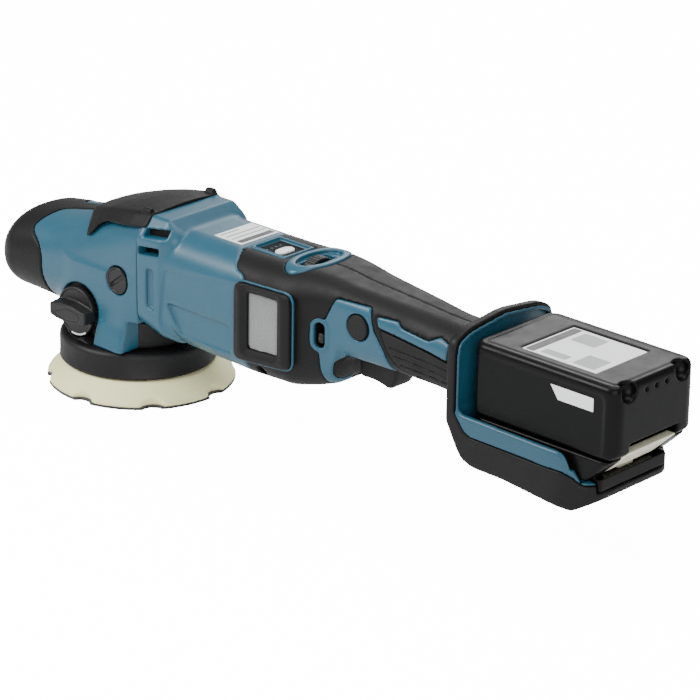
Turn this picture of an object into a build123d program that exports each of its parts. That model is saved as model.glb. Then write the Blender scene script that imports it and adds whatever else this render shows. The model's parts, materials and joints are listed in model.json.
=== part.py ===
from build123d import *
import math
import os

# Dual action polisher, cordless, 125 mm class.  Units: millimetres.
# Frame: origin at the centre of the pad's working face, on the drive spindle axis.
# +Z runs up out of the head, +X runs back along the handle to the battery, -Y is the left side.

os.makedirs("parts", exist_ok=True)

# ---------------------------------------------------------------- driving dimensions
GAP = 0.05                    # clearance between fixed neighbours
RUN = 0.05                    # radial clearance of a running fit

# pad and drive
PAD_RADIUS = 61.4
PAD_TOP = 14.6
HOOK_THICK = 1.5
ORBIT_OFFSET = 2.75           # half of the 5.5 mm orbit
PLATE_RADIUS = 44.0
PLATE_Z = (14.6, 18.6)
SCALLOPS = 8
SCALLOP_START = 7.6          # degrees from +X to the first bite
SCALLOP_RADIUS = 7.5
SCALLOP_DEPTH = 3.8
PAD_HOLE = 10.5               # open centre for the pad bolt
PAD_SHAFT_RADIUS = 6.0
PAD_BOLT_RADIUS = 4.0
PAD_BEARING_RADIUS = 14.0
PAD_BEARING_Z = (30.6, 38.6)

# orbit gearing: a fixed ring and a hub gear give the forced rotation
ORBIT_MODULE = 1.1
RING_TEETH = 49
HUB_TEETH = 44
RING_GEAR_Z = (19.6, 26.0)
HUB_GEAR_Z = (18.6, 26.0)
RING_OUTER = 31.5

# bevel gearing: the apex is where motor axis and spindle axis cross
MOTOR_Z = 87.0
MOTOR_SHAFT_RADIUS = 4.0
FRONT_BEARING_X = (26.0, 34.0)
REAR_BEARING_X = (117.0, 124.0)
BEVEL_MODULE = 1.25
PINION_TEETH = 12
CROWN_TEETH = 30
BEVEL_SMALL_END = 0.62        # size of the small end of a bevel tooth

# shroud and gear case
SHROUD_RADIUS = 51.1
SHROUD_Z = (15.7, 33.0)
NECK_RADIUS = 35.0
NECK_CAVITY = 32.2
CASE_RADIUS = 30.0

# housings: x, half width, lowest z, highest z, corner radius
HEAD_SECTIONS = [
    (-103.0, 14.0, 57.5, 80.5, 11.0),
    (-98.0, 25.0, 51.5, 87.5, 17.0),
    (-90.0, 33.0, 47.5, 93.5, 22.0),
    (-75.0, 37.5, 45.0, 99.0, 24.0),
    (-50.0, 38.0, 43.5, 104.5, 23.0),
    (-20.0, 37.5, 42.0, 111.0, 19.0),
    (10.0, 37.3, 42.0, 119.5, 15.0),
    (38.0, 37.3, 44.0, 127.0, 13.0),
]
MOTOR_SECTIONS = [
    (38.0, 37.6, 55.0, 127.4, 13.0),
    (60.0, 37.6, 48.0, 126.5, 13.0),
    (70.0, 37.0, 45.5, 121.5, 13.0),
    (132.0, 37.0, 44.0, 120.5, 15.0),
]
REAR_SECTIONS = [
    (132.0, 37.0, 44.0, 120.5, 15.0),
    (168.0, 37.0, 45.5, 121.5, 16.0),
    (182.0, 32.0, 50.0, 122.5, 17.0),
    (196.0, 27.0, 55.5, 120.5, 14.0),
    (199.5, 26.6, 73.5, 120.0, 13.0),
    (245.0, 23.2, 73.0, 116.5, 13.0),
    (262.0, 22.0, 72.0, 115.0, 16.0),
    (303.0, 23.0, 70.0, 114.0, 17.0),
]
WALL = 2.8
RUBBER = 2.2                  # thickness of moulded-on rubber
NOSE_RAMP = (-60.0, -103.0)   # the shell's inset also moves its front end back in this stretch
SKIRT_X = (-39.0, 35.0)
SKIRT_Z = (33.1, 62.0)
SKIRT_HALF = (45.0, 37.2)     # half width at the foot and where it meets the head
GUARD_RISE = 4.0              # how far the crown guard stands above the head
GUARD_SPREAD = 2.2            # and out from its sides
CAP_X = 20.5
CAP_Z = 80.0
CAP_RADIUS = 9.0

# intake filters, on both sides
FILTER_X = (126.0, 173.0)
FILTER_Z = (58.0, 110.5)
MESH_X = (137.0, 162.5)
MESH_Z = (67.0, 105.0)

# screws: (y, z) into the gear case and (x, z) through the handle
SCREW_RADIUS = 1.9
CASE_SCREWS = [(26.0, 66.0), (26.0, 108.0), (-26.0, 66.0), (-26.0, 108.0)]
HANDLE_SCREWS = [(143.0, 52.5), (186.0, 66.0), (192.0, 113.0), (251.0, 104.0), (290.0, 100.0)]
SCREW_BOSS = 4.2

# mode knob, on the left of the head
KNOB_X = -14.0
KNOB_Z = 51.0
KNOB_RADIUS = 16.5
KNOB_Y = (-37.6, -42.5)
KNOB_GRIP_Y = -50.0
KNOB_STEM = 4.0

# handle controls
TRIGGER_PIVOT = (206.0, 79.0)
TRIGGER_X = (203.0, 243.5)
TRIGGER_HALF = 10.0
PIN_RADIUS = 1.5
PIN_HALF = 13.0
LUG_Y = (10.6, 14.0)          # the lugs that hold the trigger pin
LOCK_X = 216.0
LOCK_Z = 99.0
LOCK_RADIUS = 8.0
SLIDER_X = 188.5
SLIDER_Z = 87.5
DIAL_X = 159.0
DIAL_Z = 109.0
DIAL_RADIUS = 14.0
DIAL_HALF = 4.0
DIAL_STEM = 2.0
DIAL_OVAL = (13.5, 21.0)      # half axes of the bezel
PANEL_X = (114.0, 144.0)
PANEL_HALF = 13.5
BUTTON_X = 131.0              # push button in the panel
LAMP_X = 121.5

# battery and its base
BASE_HALF = 44.0
WALL_X = (303.0, 312.0)
BATTERY_X = (315.0, 424.0)
BATTERY_HALF = 36.7
BATTERY_Z = (60.0, 122.0)
LID_TOP = 76.0
TRAY_TOP = 76.5               # upper edge of the tray's side walls
TRAY_REAR = 60.0              # and behind the battery's shoulders
BAND_LOW = 64.0               # the rubber ends here on the sides
BAND_REAR = 57.5              # and here at the rear
RAIL_BLOCK_HALF = 30.0
RAIL_BLOCK_LOW = 53.0
CELL_RADIUS = 9.1
CELL_LENGTH = 65.0
CONTACT_Y = (-14.0, 0.0, 14.0)


# ---------------------------------------------------------------- small helpers
def block(x_span, y_span, z_span):
    """A box given by its three spans."""
    size = [abs(span[1] - span[0]) for span in (x_span, y_span, z_span)]
    middle = [(span[1] + span[0]) / 2 for span in (x_span, y_span, z_span)]
    return Pos(*middle) * Box(*size)


def rod_x(radius, x_span, y=0.0, z=0.0):
    """A cylinder along X."""
    length = abs(x_span[1] - x_span[0])
    return Pos((x_span[0] + x_span[1]) / 2, y, z) * Rot(0, 90, 0) * Cylinder(radius, length)


def rod_y(radius, y_span, x=0.0, z=0.0):
    """A cylinder along Y."""
    length = abs(y_span[1] - y_span[0])
    return Pos(x, (y_span[0] + y_span[1]) / 2, z) * Rot(90, 0, 0) * Cylinder(radius, length)


def rod_z(radius, z_span, x=0.0, y=0.0):
    """A cylinder along Z."""
    length = abs(z_span[1] - z_span[0])
    return Pos(x, y, (z_span[0] + z_span[1]) / 2) * Cylinder(radius, length)


def side_prism(outline, y_span, corner=0.0):
    """A prism along Y from (x, z) points, with its corners rounded."""
    sketch = make_face(Polyline(*outline, close=True))
    if corner > 0:
        sketch = fillet(sketch.vertices(), corner)
    low, high = min(y_span), max(y_span)
    return extrude(Plane.XZ.offset(-high) * sketch, amount=high - low)


def front_prism(outline, x_span):
    """A prism along X from (y, z) points."""
    sketch = make_face(Polyline(*outline, close=True))
    return extrude(Plane.YZ.offset(x_span[0]) * sketch, amount=x_span[1] - x_span[0])


def plan_prism(sketch, z_span):
    """A prism along Z from a sketch on the XY plane."""
    return extrude(Plane.XY.offset(z_span[0]) * sketch, amount=z_span[1] - z_span[0])


def housing(sections, inset=0.0):
    """A lofted body through rounded rectangles; inset shrinks it evenly."""
    faces = []
    ramp_start, ramp_end = NOSE_RAMP
    for x, half, low, high, corner in sections:
        ramp = min(1.0, max(0.0, (ramp_start - x) / (ramp_start - ramp_end)))
        plane = Plane(origin=(x + inset * ramp, 0, (low + high) / 2), x_dir=(0, 1, 0), z_dir=(1, 0, 0))
        outline = RectangleRounded(2 * (half - inset), high - low - 2 * inset, max(corner - inset, 2.0))
        faces.append(plane * outline)
    return loft(faces, ruled=True)


def both_sides(shape):
    """The shape and its mirror image across the XZ plane."""
    return shape, mirror(shape, Plane.XZ)


def group(shapes):
    """Separate solids that share one node."""
    solids = []
    for shape in shapes:
        solids.extend(shape.solids())
    return Compound(children=solids)


def save(name, shape):
    """Write one node."""
    solids = shape.solids()
    body = Compound(children=list(solids)) if len(solids) > 1 else solids[0]
    export_step(body, f"parts/{name}.step")


# ---------------------------------------------------------------- gears
def gear_outline(teeth, root, tip, root_share, tip_share, start=0.0):
    """A straight-sided gear outline; the shares are tooth widths as parts of the tooth pitch."""
    pitch = 2 * math.pi / teeth
    points = []
    for tooth in range(teeth):
        centre = start + tooth * pitch
        for radius, share in ((root, -root_share), (tip, -tip_share), (tip, tip_share), (root, root_share)):
            angle = centre + share * pitch / 2
            points.append((radius * math.cos(angle), radius * math.sin(angle)))
    return make_face(Polyline(*points, close=True))


def make_ring_gear():
    """Fixed internal gear; a tooth space faces +X."""
    pitch_radius = ORBIT_MODULE * RING_TEETH / 2
    root = pitch_radius - 0.35 * ORBIT_MODULE
    tip = pitch_radius + 0.75 * ORBIT_MODULE
    bore = gear_outline(RING_TEETH, root, tip, 0.72, 0.44)
    blank = rod_z(RING_OUTER, RING_GEAR_Z)
    return blank - plan_prism(bore, RING_GEAR_Z)


def make_hub_gear():
    """Gear on the pad shaft, in mesh with the ring gear at +X."""
    pitch_radius = ORBIT_MODULE * HUB_TEETH / 2
    root = pitch_radius - 0.75 * ORBIT_MODULE
    tip = pitch_radius + 0.35 * ORBIT_MODULE
    outline = gear_outline(HUB_TEETH, root, tip, 0.52, 0.30)
    gear = Pos(ORBIT_OFFSET, 0, 0) * plan_prism(outline, HUB_GEAR_Z)
    return gear - rod_z(PAD_SHAFT_RADIUS + GAP, HUB_GEAR_Z, ORBIT_OFFSET)


def bevel_gear(teeth, mate_teeth, start):
    """A bevel gear on the Z axis with its apex at the origin and its large end at -Z."""
    large_radius = BEVEL_MODULE * teeth / 2
    large_z = BEVEL_MODULE * mate_teeth / 2
    cone = math.atan2(large_radius, large_z)
    reach = math.hypot(large_radius, large_z)
    tip = large_z * math.tan(cone + 0.62 * BEVEL_MODULE / reach)
    root = large_z * math.tan(cone - 1.0 * BEVEL_MODULE / reach)
    outline = gear_outline(teeth, root, tip, 0.54, 0.24, start)
    small = scale(outline, by=BEVEL_SMALL_END)
    small_z = large_z * BEVEL_SMALL_END
    return loft([Plane.XY.offset(-large_z) * outline, Plane.XY.offset(-small_z) * small], ruled=True)


# ---------------------------------------------------------------- pad and its drive
def make_hook_face():
    """Black hook layer under the pad, with the pad's scalloped edge."""
    disc = rod_z(PAD_RADIUS, (0, HOOK_THICK), ORBIT_OFFSET) - rod_z(PAD_HOLE, (0, HOOK_THICK), ORBIT_OFFSET)
    return disc - scallop_cuts((-1, HOOK_THICK + 1))


def scallop_cuts(z_span):
    """Shallow round bites around the pad's edge."""
    centre_radius = PAD_RADIUS + SCALLOP_RADIUS - SCALLOP_DEPTH
    cuts = []
    for index in range(SCALLOPS):
        angle = math.radians(SCALLOP_START + 360 / SCALLOPS * index)
        x = ORBIT_OFFSET + centre_radius * math.cos(angle)
        cuts.append(rod_z(SCALLOP_RADIUS, z_span, x, centre_radius * math.sin(angle)))
    return Compound(children=cuts)


def make_backing_pad():
    """Cream foam backing pad: wide at the face, narrower where it meets the plate."""
    outline = [
        (PAD_HOLE, HOOK_THICK),
        (PAD_RADIUS, HOOK_THICK),
        (PAD_RADIUS - 0.8, 5.0),
        (54.0, 11.5),
        (50.0, PAD_TOP),
        (PAD_HOLE, PAD_TOP),
    ]
    profile = Plane.XZ * make_face(Polyline(*outline, close=True))
    pad = Pos(ORBIT_OFFSET, 0, 0) * revolve(profile, Axis.Z)
    return pad - scallop_cuts((HOOK_THICK - 1, 8.5))


def make_pad_plate():
    """Rigid plate bonded on the pad, with a hub that carries the gear."""
    plate = rod_z(PLATE_RADIUS, PLATE_Z, ORBIT_OFFSET)
    return plate - rod_z(PAD_SHAFT_RADIUS + GAP, PLATE_Z, ORBIT_OFFSET)


def make_pad_shaft():
    """Shaft that turns in the offset bearing and takes the pad bolt."""
    shaft = rod_z(PAD_SHAFT_RADIUS, (PLATE_Z[0], 40.0), ORBIT_OFFSET)
    collar = rod_z(8.4, (26.2, PAD_BEARING_Z[0]), ORBIT_OFFSET)
    return shaft + collar - rod_z(PAD_BOLT_RADIUS + GAP, (PLATE_Z[0], 32.0), ORBIT_OFFSET)


def make_pad_bolt():
    """Flanged hexagon socket bolt, reached from below through the pad."""
    flange = rod_z(9.6, (12.6, PAD_TOP - GAP), ORBIT_OFFSET)
    head = rod_z(6.5, (6.5, 12.6), ORBIT_OFFSET) + flange
    shank = rod_z(PAD_BOLT_RADIUS, (12.0, 31.0), ORBIT_OFFSET)
    socket = Pos(ORBIT_OFFSET, 0, 0) * plan_prism(RegularPolygon(3.0, 6), (6.5, 10.0))
    return head + shank - socket


def make_pad_bearing():
    ring = rod_z(PAD_BEARING_RADIUS - GAP, PAD_BEARING_Z, ORBIT_OFFSET)
    return bearing_grooves(ring - rod_z(PAD_SHAFT_RADIUS + RUN, PAD_BEARING_Z, ORBIT_OFFSET), PAD_BEARING_Z,
                           PAD_SHAFT_RADIUS, PAD_BEARING_RADIUS, ORBIT_OFFSET)


def bearing_grooves(ring, z_span, inner, outer, x=0.0):
    """Shield recesses on both faces of a bearing whose axis is along Z."""
    depth = 0.6
    rim = 2.4
    shield = [(z_span[0], z_span[0] + depth), (z_span[1] - depth, z_span[1])]
    for span in shield:
        ring = ring - (rod_z(outer - rim, span, x) - rod_z(inner + rim, span, x))
    return ring


def make_spindle():
    """Main shaft, eccentric head with the pad bearing's seat, and its locating shoulders."""
    eccentric = rod_z(19.0, (30.2, 44.0), ORBIT_OFFSET)
    journal = rod_z(7.5, (44.0, 58.0))
    upper = rod_z(5.0, (58.0, 86.0))
    seat = rod_z(PAD_BEARING_RADIUS, (30.2, PAD_BEARING_Z[1] + GAP), ORBIT_OFFSET)
    relief = rod_z(10.0, (38.0, 41.5), ORBIT_OFFSET)
    return eccentric + journal + upper - seat - relief


def make_counterweight():
    """Half-ring of steel opposite the eccentric."""
    arc = rod_z(31.2, (31.0, 43.0)) - rod_z(23.0, (31.0, 43.0))
    web = rod_z(31.2, (40.5, 43.9)) - rod_z(19.0 + GAP, (40.5, 43.9), ORBIT_OFFSET)
    half = block((-40, -3), (-40, 40), (30, 45))
    return (arc + web) & half


def make_main_bearing(outer, inner, z_span):
    ring = rod_z(outer - GAP, z_span) - rod_z(inner + RUN, z_span)
    return bearing_grooves(ring, z_span, inner, outer)


def make_crown_gear():
    gear = Pos(0, 0, MOTOR_Z) * bevel_gear(CROWN_TEETH, PINION_TEETH, 0.0)
    hub = rod_z(9.0, (72.0, MOTOR_Z - BEVEL_MODULE * PINION_TEETH / 2))
    return gear + hub - rod_z(5.0 + GAP, (70.0, 90.0))


def make_spindle_nut():
    nut = plan_prism(RegularPolygon(7.5, 6), (MOTOR_Z - 4.6, MOTOR_Z - 1.2))
    return nut - rod_z(5.0 + GAP, (80.0, 90.0))


# ---------------------------------------------------------------- motor
def make_pinion():
    """Bevel pinion on the motor shaft; it points at the spindle axis."""
    half_pitch = math.pi / PINION_TEETH
    gear = bevel_gear(PINION_TEETH, CROWN_TEETH, half_pitch)
    placed = Pos(0, 0, MOTOR_Z) * Rot(0, -90, 0) * gear
    hub = rod_x(6.0, (BEVEL_MODULE * CROWN_TEETH / 2, 25.0), z=MOTOR_Z)
    return placed + hub - rod_x(MOTOR_SHAFT_RADIUS + GAP, (5.0, 25.0), z=MOTOR_Z)


def make_motor_shaft():
    slim = rod_x(MOTOR_SHAFT_RADIUS, (11.0, 127.0), z=MOTOR_Z)
    return slim + rod_x(6.0, (25.2, 48.0), z=MOTOR_Z)


def make_rotor():
    core = rod_x(21.0, (54.0, 92.0), z=MOTOR_Z) - rod_x(MOTOR_SHAFT_RADIUS + GAP, (50.0, 95.0), z=MOTOR_Z)
    for index in range(8):
        angle = 45.0 * index
        slot = Rot(angle, 0, 0) * block((54, 92), (-5.0, 5.0), (17.0, 18.4))
        core = core - Pos(0, 0, MOTOR_Z) * slot
    return core


def make_stator():
    """Laminated ring with six wound poles."""
    ring = rod_x(31.0, (55.0, 91.0), z=MOTOR_Z) - rod_x(27.5, (50.0, 95.0), z=MOTOR_Z)
    for index in range(6):
        pole = Rot(60.0 * index, 0, 0) * block((55, 91), (-5.0, 5.0), (22.4, 28.0))
        ring = ring + Pos(0, 0, MOTOR_Z) * pole
    return ring - rod_x(21.9, (50.0, 95.0), z=MOTOR_Z)


def make_windings():
    """Six coils, one around each pole, bulging past both ends of the stator."""
    coils = []
    for index in range(6):
        outer = block((51.0, 95.0), (-7.3, 7.3), (22.8, 26.0))
        inner = block((54.8, 91.2), (-5.1, 5.1), (20.0, 30.0))
        coil = Rot(60.0 * index, 0, 0) * (outer - inner)
        coils.append(Pos(0, 0, MOTOR_Z) * coil)
    return group(coils)


def make_fan():
    """Cooling fan: a back plate with straight vanes."""
    hub = rod_x(8.0, (99.0, 110.0), z=MOTOR_Z)
    plate = rod_x(28.0, (99.0, 101.0), z=MOTOR_Z)
    fan = hub + plate
    for index in range(11):
        vane = Rot(360 / 11 * index, 0, 0) * block((100.5, 109.0), (-0.8, 0.8), (7.0, 27.5))
        fan = fan + Pos(0, 0, MOTOR_Z) * vane
    return fan - rod_x(MOTOR_SHAFT_RADIUS + GAP, (95.0, 115.0), z=MOTOR_Z)


def make_bearing_x(outer, inner, x_span):
    ring = rod_x(outer - GAP, x_span, z=MOTOR_Z) - rod_x(inner + RUN, x_span, z=MOTOR_Z)
    depth = 0.6
    rim = 2.0
    for span in ((x_span[0], x_span[0] + depth), (x_span[1] - depth, x_span[1])):
        shield = rod_x(outer - rim, span, z=MOTOR_Z) - rod_x(inner + rim, span, z=MOTOR_Z)
        ring = ring - shield
    return ring


def make_motor_bracket():
    """Spider that holds the rear bearing inside the motor housing."""
    hub = rod_x(14.5, (115.0, 126.0), z=MOTOR_Z)
    rim = rod_x(33.5, (115.0, 121.0), z=MOTOR_Z) - rod_x(30.5, (115.0, 121.0), z=MOTOR_Z)
    bracket = hub + rim
    for index in range(4):
        spoke = Rot(90.0 * index + 45.0, 0, 0) * block((115.0, 119.0), (-3.0, 3.0), (10.0, 32.0))
        bracket = bracket + Pos(0, 0, MOTOR_Z) * spoke
    bracket = bracket - block((110.0, 130.0), (-20.0, 20.0), (109.5, 130.0))
    bracket = bracket - rod_x(11.0, (REAR_BEARING_X[0], 130.0), z=MOTOR_Z)
    return bracket - rod_x(8.5, (110.0, 130.0), z=MOTOR_Z)


# ---------------------------------------------------------------- head
def make_gear_case():
    """Aluminium case: neck for the ring gear, tower for the spindle, socket for the motor."""
    case = rod_z(NECK_RADIUS, (RING_GEAR_Z[0], 58.0)) + rod_z(CASE_RADIUS, (57.0, 106.0))
    case = case + rod_x(20.0, (10.0, 37.6), z=MOTOR_Z)
    case = case + block((26.0, 37.6), (-31.0, 31.0), (60.0, 114.0))
    case = case + rod_y(9.0, (KNOB_Y[0] + 0.2, -25.0), KNOB_X, KNOB_Z)
    case = case - rod_z(RING_OUTER + GAP, (18.0, RING_GEAR_Z[1] + GAP))
    case = case - rod_z(NECK_CAVITY, (RING_GEAR_Z[1], 45.0))
    case = case - rod_z(17.5, (40.0, 57.0)) - rod_z(14.0, (50.0, 60.0))
    case = case - rod_z(15.0, (60.0, 70.0)) - rod_z(9.6, (50.0, 72.0))
    case = case - rod_z(26.5, (70.6, 103.0))
    case = case - rod_y(KNOB_STEM + RUN, (-60.0, -29.6), KNOB_X, KNOB_Z)
    for y, z in CASE_SCREWS:
        case = case - rod_x(SCREW_RADIUS + GAP, (20.0, 40.0), y, z)
    return case - rod_x(12.5, (10.0, 30.0), z=MOTOR_Z) - rod_x(14.0, (FRONT_BEARING_X[0], 40.0), z=MOTOR_Z)


def skirt(inset):
    """The flared lower part of the head, standing on the shroud."""
    faces = []
    for z, half, corner in zip(SKIRT_Z, SKIRT_HALF, (15.0, 10.0)):
        length = SKIRT_X[1] - SKIRT_X[0] - 2 * inset
        outline = RectangleRounded(length, 2 * (half - inset), corner - inset)
        faces.append(Plane.XY.offset(z) * Pos((SKIRT_X[0] + SKIRT_X[1]) / 2, 0) * outline)
    return loft(faces, ruled=True)


def nose_region():
    """The space in front of the line where the nose rubber ends."""
    outline = [(-112, 30), (-48, 30), (-50.5, 62), (-51, 79), (-66, 92), (-54, 104), (-54, 125), (-112, 125)]
    return side_prism(outline, (-60, 60))


def make_head_housing():
    """Painted head shell, flared down to the shroud, with an arch for the mode knob."""
    shell = housing(HEAD_SECTIONS)
    front = nose_region()
    shell = (shell - front) + (housing(HEAD_SECTIONS, RUBBER + GAP) & front)
    shell = shell + skirt(0.0)
    shell = shell - housing(HEAD_SECTIONS, RUBBER + WALL) - skirt(WALL)
    shell = shell - block((37.0, 60.0), (-30, 30), (50, 120))
    shell = shell - rod_y(KNOB_RADIUS + 1.5, (-25.0, -60.0), KNOB_X, KNOB_Z)
    arch = (KNOB_X - KNOB_RADIUS - 1.5, KNOB_X + KNOB_RADIUS + 1.5)
    shell = shell - block(arch, (-60.0, -25.0), (20.0, KNOB_Z))
    shell = shell - rod_y(CAP_RADIUS + 0.4, (-60.0, -25.0), CAP_X, CAP_Z)
    shell = shell - block((38.0, 60.0), (-60, 60), (30, 140))
    shell = shell - rod_z(NECK_RADIUS + GAP, (20.0, 58.1)) - rod_z(CASE_RADIUS + GAP, (57.0, 106.1))
    shell = shell - rod_x(20.0 + GAP, (10.0, 38.0), z=MOTOR_Z)
    shell = shell - block((25.9, 38.0), (-31.1, 31.1), (59.9, 114.1))
    return shell.solids().sort_by(SortBy.VOLUME)[-1]


def make_nose_grip():
    """Moulded rubber over the nose."""
    return (housing(HEAD_SECTIONS) - housing(HEAD_SECTIONS, RUBBER)) & nose_region()


def make_top_bumper():
    """Rubber guard over the crown of the head."""
    outline = [(-33, 105), (-8, 105), (-2, 110), (8, 114), (37.5, 118), (37.5, 140), (-33, 140)]
    region = side_prism(outline, (-60, 60))
    rise, spread = GUARD_RISE, GUARD_SPREAD
    sections = []
    for x, half, low, high, corner in HEAD_SECTIONS:
        sections.append((x, half + spread, low, high + rise, corner + spread))
    raised = housing(sections)
    guard = (raised - housing(HEAD_SECTIONS, -GAP)) & region
    return guard.solids().sort_by(SortBy.VOLUME)[-1]


def make_side_cap():
    """Slotted brush-style cap in the left side of the head."""
    cap = rod_y(CAP_RADIUS, (-39.0, -33.5), CAP_X, CAP_Z)
    slot = Pos(CAP_X, -39.0, CAP_Z) * Rot(0, -40, 0) * Box(13.0, 3.0, 2.0)
    return cap - slot


def make_pad_shroud():
    """Rubber skirt around the drive, on the neck of the gear case."""
    outline = [
        (47.9, SHROUD_Z[0]),
        (SHROUD_RADIUS, SHROUD_Z[0]),
        (SHROUD_RADIUS, 30.5),
        (48.6, SHROUD_Z[1]),
        (NECK_RADIUS + GAP, SHROUD_Z[1]),
        (NECK_RADIUS + GAP, 27.0),
        (45.0, 27.0),
        (47.9, 24.0),
    ]
    profile = Plane.XZ * make_face(Polyline(*outline, close=True))
    return revolve(profile, Axis.Z)


def make_mode_knob():
    """Knob disc with a finger bar and a stem in the gear case."""
    disc = rod_y(KNOB_RADIUS, KNOB_Y, KNOB_X, KNOB_Z)
    stem = rod_y(KNOB_STEM, (KNOB_Y[0], -30.2), KNOB_X, KNOB_Z)
    reach = KNOB_RADIUS + 0.5
    bar_outline = [
        (KNOB_X - reach, KNOB_Z + 2.5),
        (KNOB_X, KNOB_Z + 6.0),
        (KNOB_X + reach, KNOB_Z + 3.5),
        (KNOB_X + reach, KNOB_Z - 3.5),
        (KNOB_X, KNOB_Z - 6.0),
        (KNOB_X - reach, KNOB_Z - 2.5),
    ]
    bar = side_prism(bar_outline, (KNOB_GRIP_Y, KNOB_Y[1] + 1.0), 1.5)
    return disc + bar + stem


# ---------------------------------------------------------------- motor housing
def make_motor_housing():
    """Teal tube around the motor, open at both ends."""
    shell = housing(MOTOR_SECTIONS) - housing(MOTOR_SECTIONS, WALL)
    tube = rod_x(36.0, (50.0, 96.0), z=MOTOR_Z) & housing(MOTOR_SECTIONS, 1.0)
    shell = shell + (tube - rod_x(31.0 + GAP, (50.0, 96.0), z=MOTOR_Z))
    web = housing(MOTOR_SECTIONS, 1.0) & block((38.0, 43.5), (-40.0, 40.0), (40.0, 130.0))
    shell = shell + (web - rod_x(24.0, (35.0, 45.0), z=MOTOR_Z))
    for y, z in CASE_SCREWS:
        shell = shell - rod_x(SCREW_RADIUS + GAP, (35.0, 45.0), y, z)
    shell = shell - block((30.0, 38.2), (-60.0, 60.0), (30.0, 140.0))
    for index in range(2):
        z_mid = 118.0 - 12.0 * index
        for side in (-1, 1):
            x_span = (43.0 - 4.0 * index, 61.0 - 4.0 * index)
            shell = shell - block(x_span, (side * 30.0, side * 45.0), (z_mid - 2.6, z_mid + 2.6))
    for recess in both_sides(side_prism([(64, 72), (75, 57), (118, 57), (118, 72)], (-45.0, -36.2), 2.0)):
        shell = shell - recess
    shell = shell - block((PANEL_X[0] - GAP, 140.0), (-PANEL_HALF - GAP, PANEL_HALF + GAP), (100.0, 130.0))
    for relief in both_sides(filter_outline(1.0, (-50.0, -36.0))):
        shell = shell - relief
    ring = rod_x(33.5 + GAP, (114.9, 121.1), z=MOTOR_Z)
    return shell - ring


def filter_outline(margin, y_span):
    """Rounded block in the outline of an intake filter frame."""
    x0, x1 = FILTER_X[0] - margin, FILTER_X[1] + margin
    z0, z1 = FILTER_Z[0] - margin, FILTER_Z[1] + margin
    return side_prism([(x0, z0), (x1, z0 + 4.0), (x1, z1), (x0, z1 - 2.0)], y_span, 5.0)


def make_filter_frame():
    frame = filter_outline(0.0, (-41.5, -36.1))
    window = side_prism([(MESH_X[0], MESH_Z[0]), (MESH_X[1], MESH_Z[0] + 2), (MESH_X[1], MESH_Z[1]),
                         (MESH_X[0], MESH_Z[1] - 1)], (-50.0, -30.0), 2.0)
    seat = block((MESH_X[0] - 2.0, MESH_X[1] + 2.0), (-37.4, -35.0), (MESH_Z[0] - 2.0, MESH_Z[1] + 2.0))
    return frame - window - seat


def make_filter_mesh():
    """Fine metal screen with rows of square holes."""
    screen = block((MESH_X[0] - 1.9, MESH_X[1] + 1.9), (-37.3, -36.7), (MESH_Z[0] - 1.9, MESH_Z[1] + 1.9))
    pitch = 3.0
    hole = 1.9
    holes = []
    for column in range(8):
        for row in range(12):
            x = MESH_X[0] + 2.2 + pitch * column
            z = MESH_Z[0] + 2.6 + pitch * row
            holes.append(block((x - hole / 2, x + hole / 2), (-39.0, -35.0), (z - hole / 2, z + hole / 2)))
    return screen - Compound(children=holes)


# ---------------------------------------------------------------- indicator panel and dial
def make_indicator_panel():
    """Top panel with a sunken floor, a hole for the button and four lamp windows."""
    body = block(PANEL_X, (-PANEL_HALF, PANEL_HALF), (112.0, 121.6))
    sunk = plan_prism(Pos(129.0, 0) * RectangleRounded(23.0, 20.0, 2.0), (119.0, 125.0))
    hollow = block((PANEL_X[0] + 2, PANEL_X[1] - 2), (-PANEL_HALF + 2, PANEL_HALF - 2), (110.0, 116.8))
    slot = SlotOverall(14.0 + 2 * RUN, 8.0 + 2 * RUN, rotation=90)
    hole = plan_prism(Pos(BUTTON_X, 0) * slot, (110.0, 125.0))
    panel = body - sunk - hollow - hole
    for index in range(4):
        panel = panel - rod_z(0.9, (115.0, 120.0), LAMP_X, -6.0 + 4.0 * index)
    return panel


def make_panel_button():
    """Pill-shaped push button with a retaining flange."""
    cap = plan_prism(Pos(BUTTON_X, 0) * SlotOverall(14.0, 8.0, rotation=90), (115.6, 120.3))
    flange = plan_prism(Pos(BUTTON_X, 0) * SlotOverall(17.0, 10.0, rotation=90), (114.6, 115.7))
    return cap + flange


def make_control_board():
    """Circuit board under the panel, with four lamps, a tact switch and the dial's rotary sensor."""
    board = block((PANEL_X[0] + 2.2, PANEL_X[1] - 2.2), (-11.2, 11.2), (110.2, 111.8))
    board = board + block((128.0, 134.0), (-3.0, 3.0), (111.8, 113.4))
    for index in range(4):
        board = board + rod_z(0.8, (111.8, 118.4), LAMP_X, -6.0 + 4.0 * index)
    board = board + block((136.0, DIAL_X - 4.6), (-5.0, 5.0), (110.2, 111.8))
    sensor = block((DIAL_X - 11.0, DIAL_X - 4.6), (-7.0, 7.0), (DIAL_Z - 8.0, DIAL_Z + 6.0))
    return board + sensor - rod_x(DIAL_STEM + RUN, (DIAL_X - 20.0, DIAL_X), z=DIAL_Z)


def make_dial_bezel():
    """Oval frame around the speed dial."""
    oval = Pos(DIAL_X, 0) * Ellipse(*DIAL_OVAL)
    frame = plan_prism(oval, (117.5, 123.4))
    return frame - block((DIAL_X - DIAL_HALF - 1.2, DIAL_X + DIAL_HALF + 1.2), (-12.5, 12.5), (110.0, 130.0))


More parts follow.
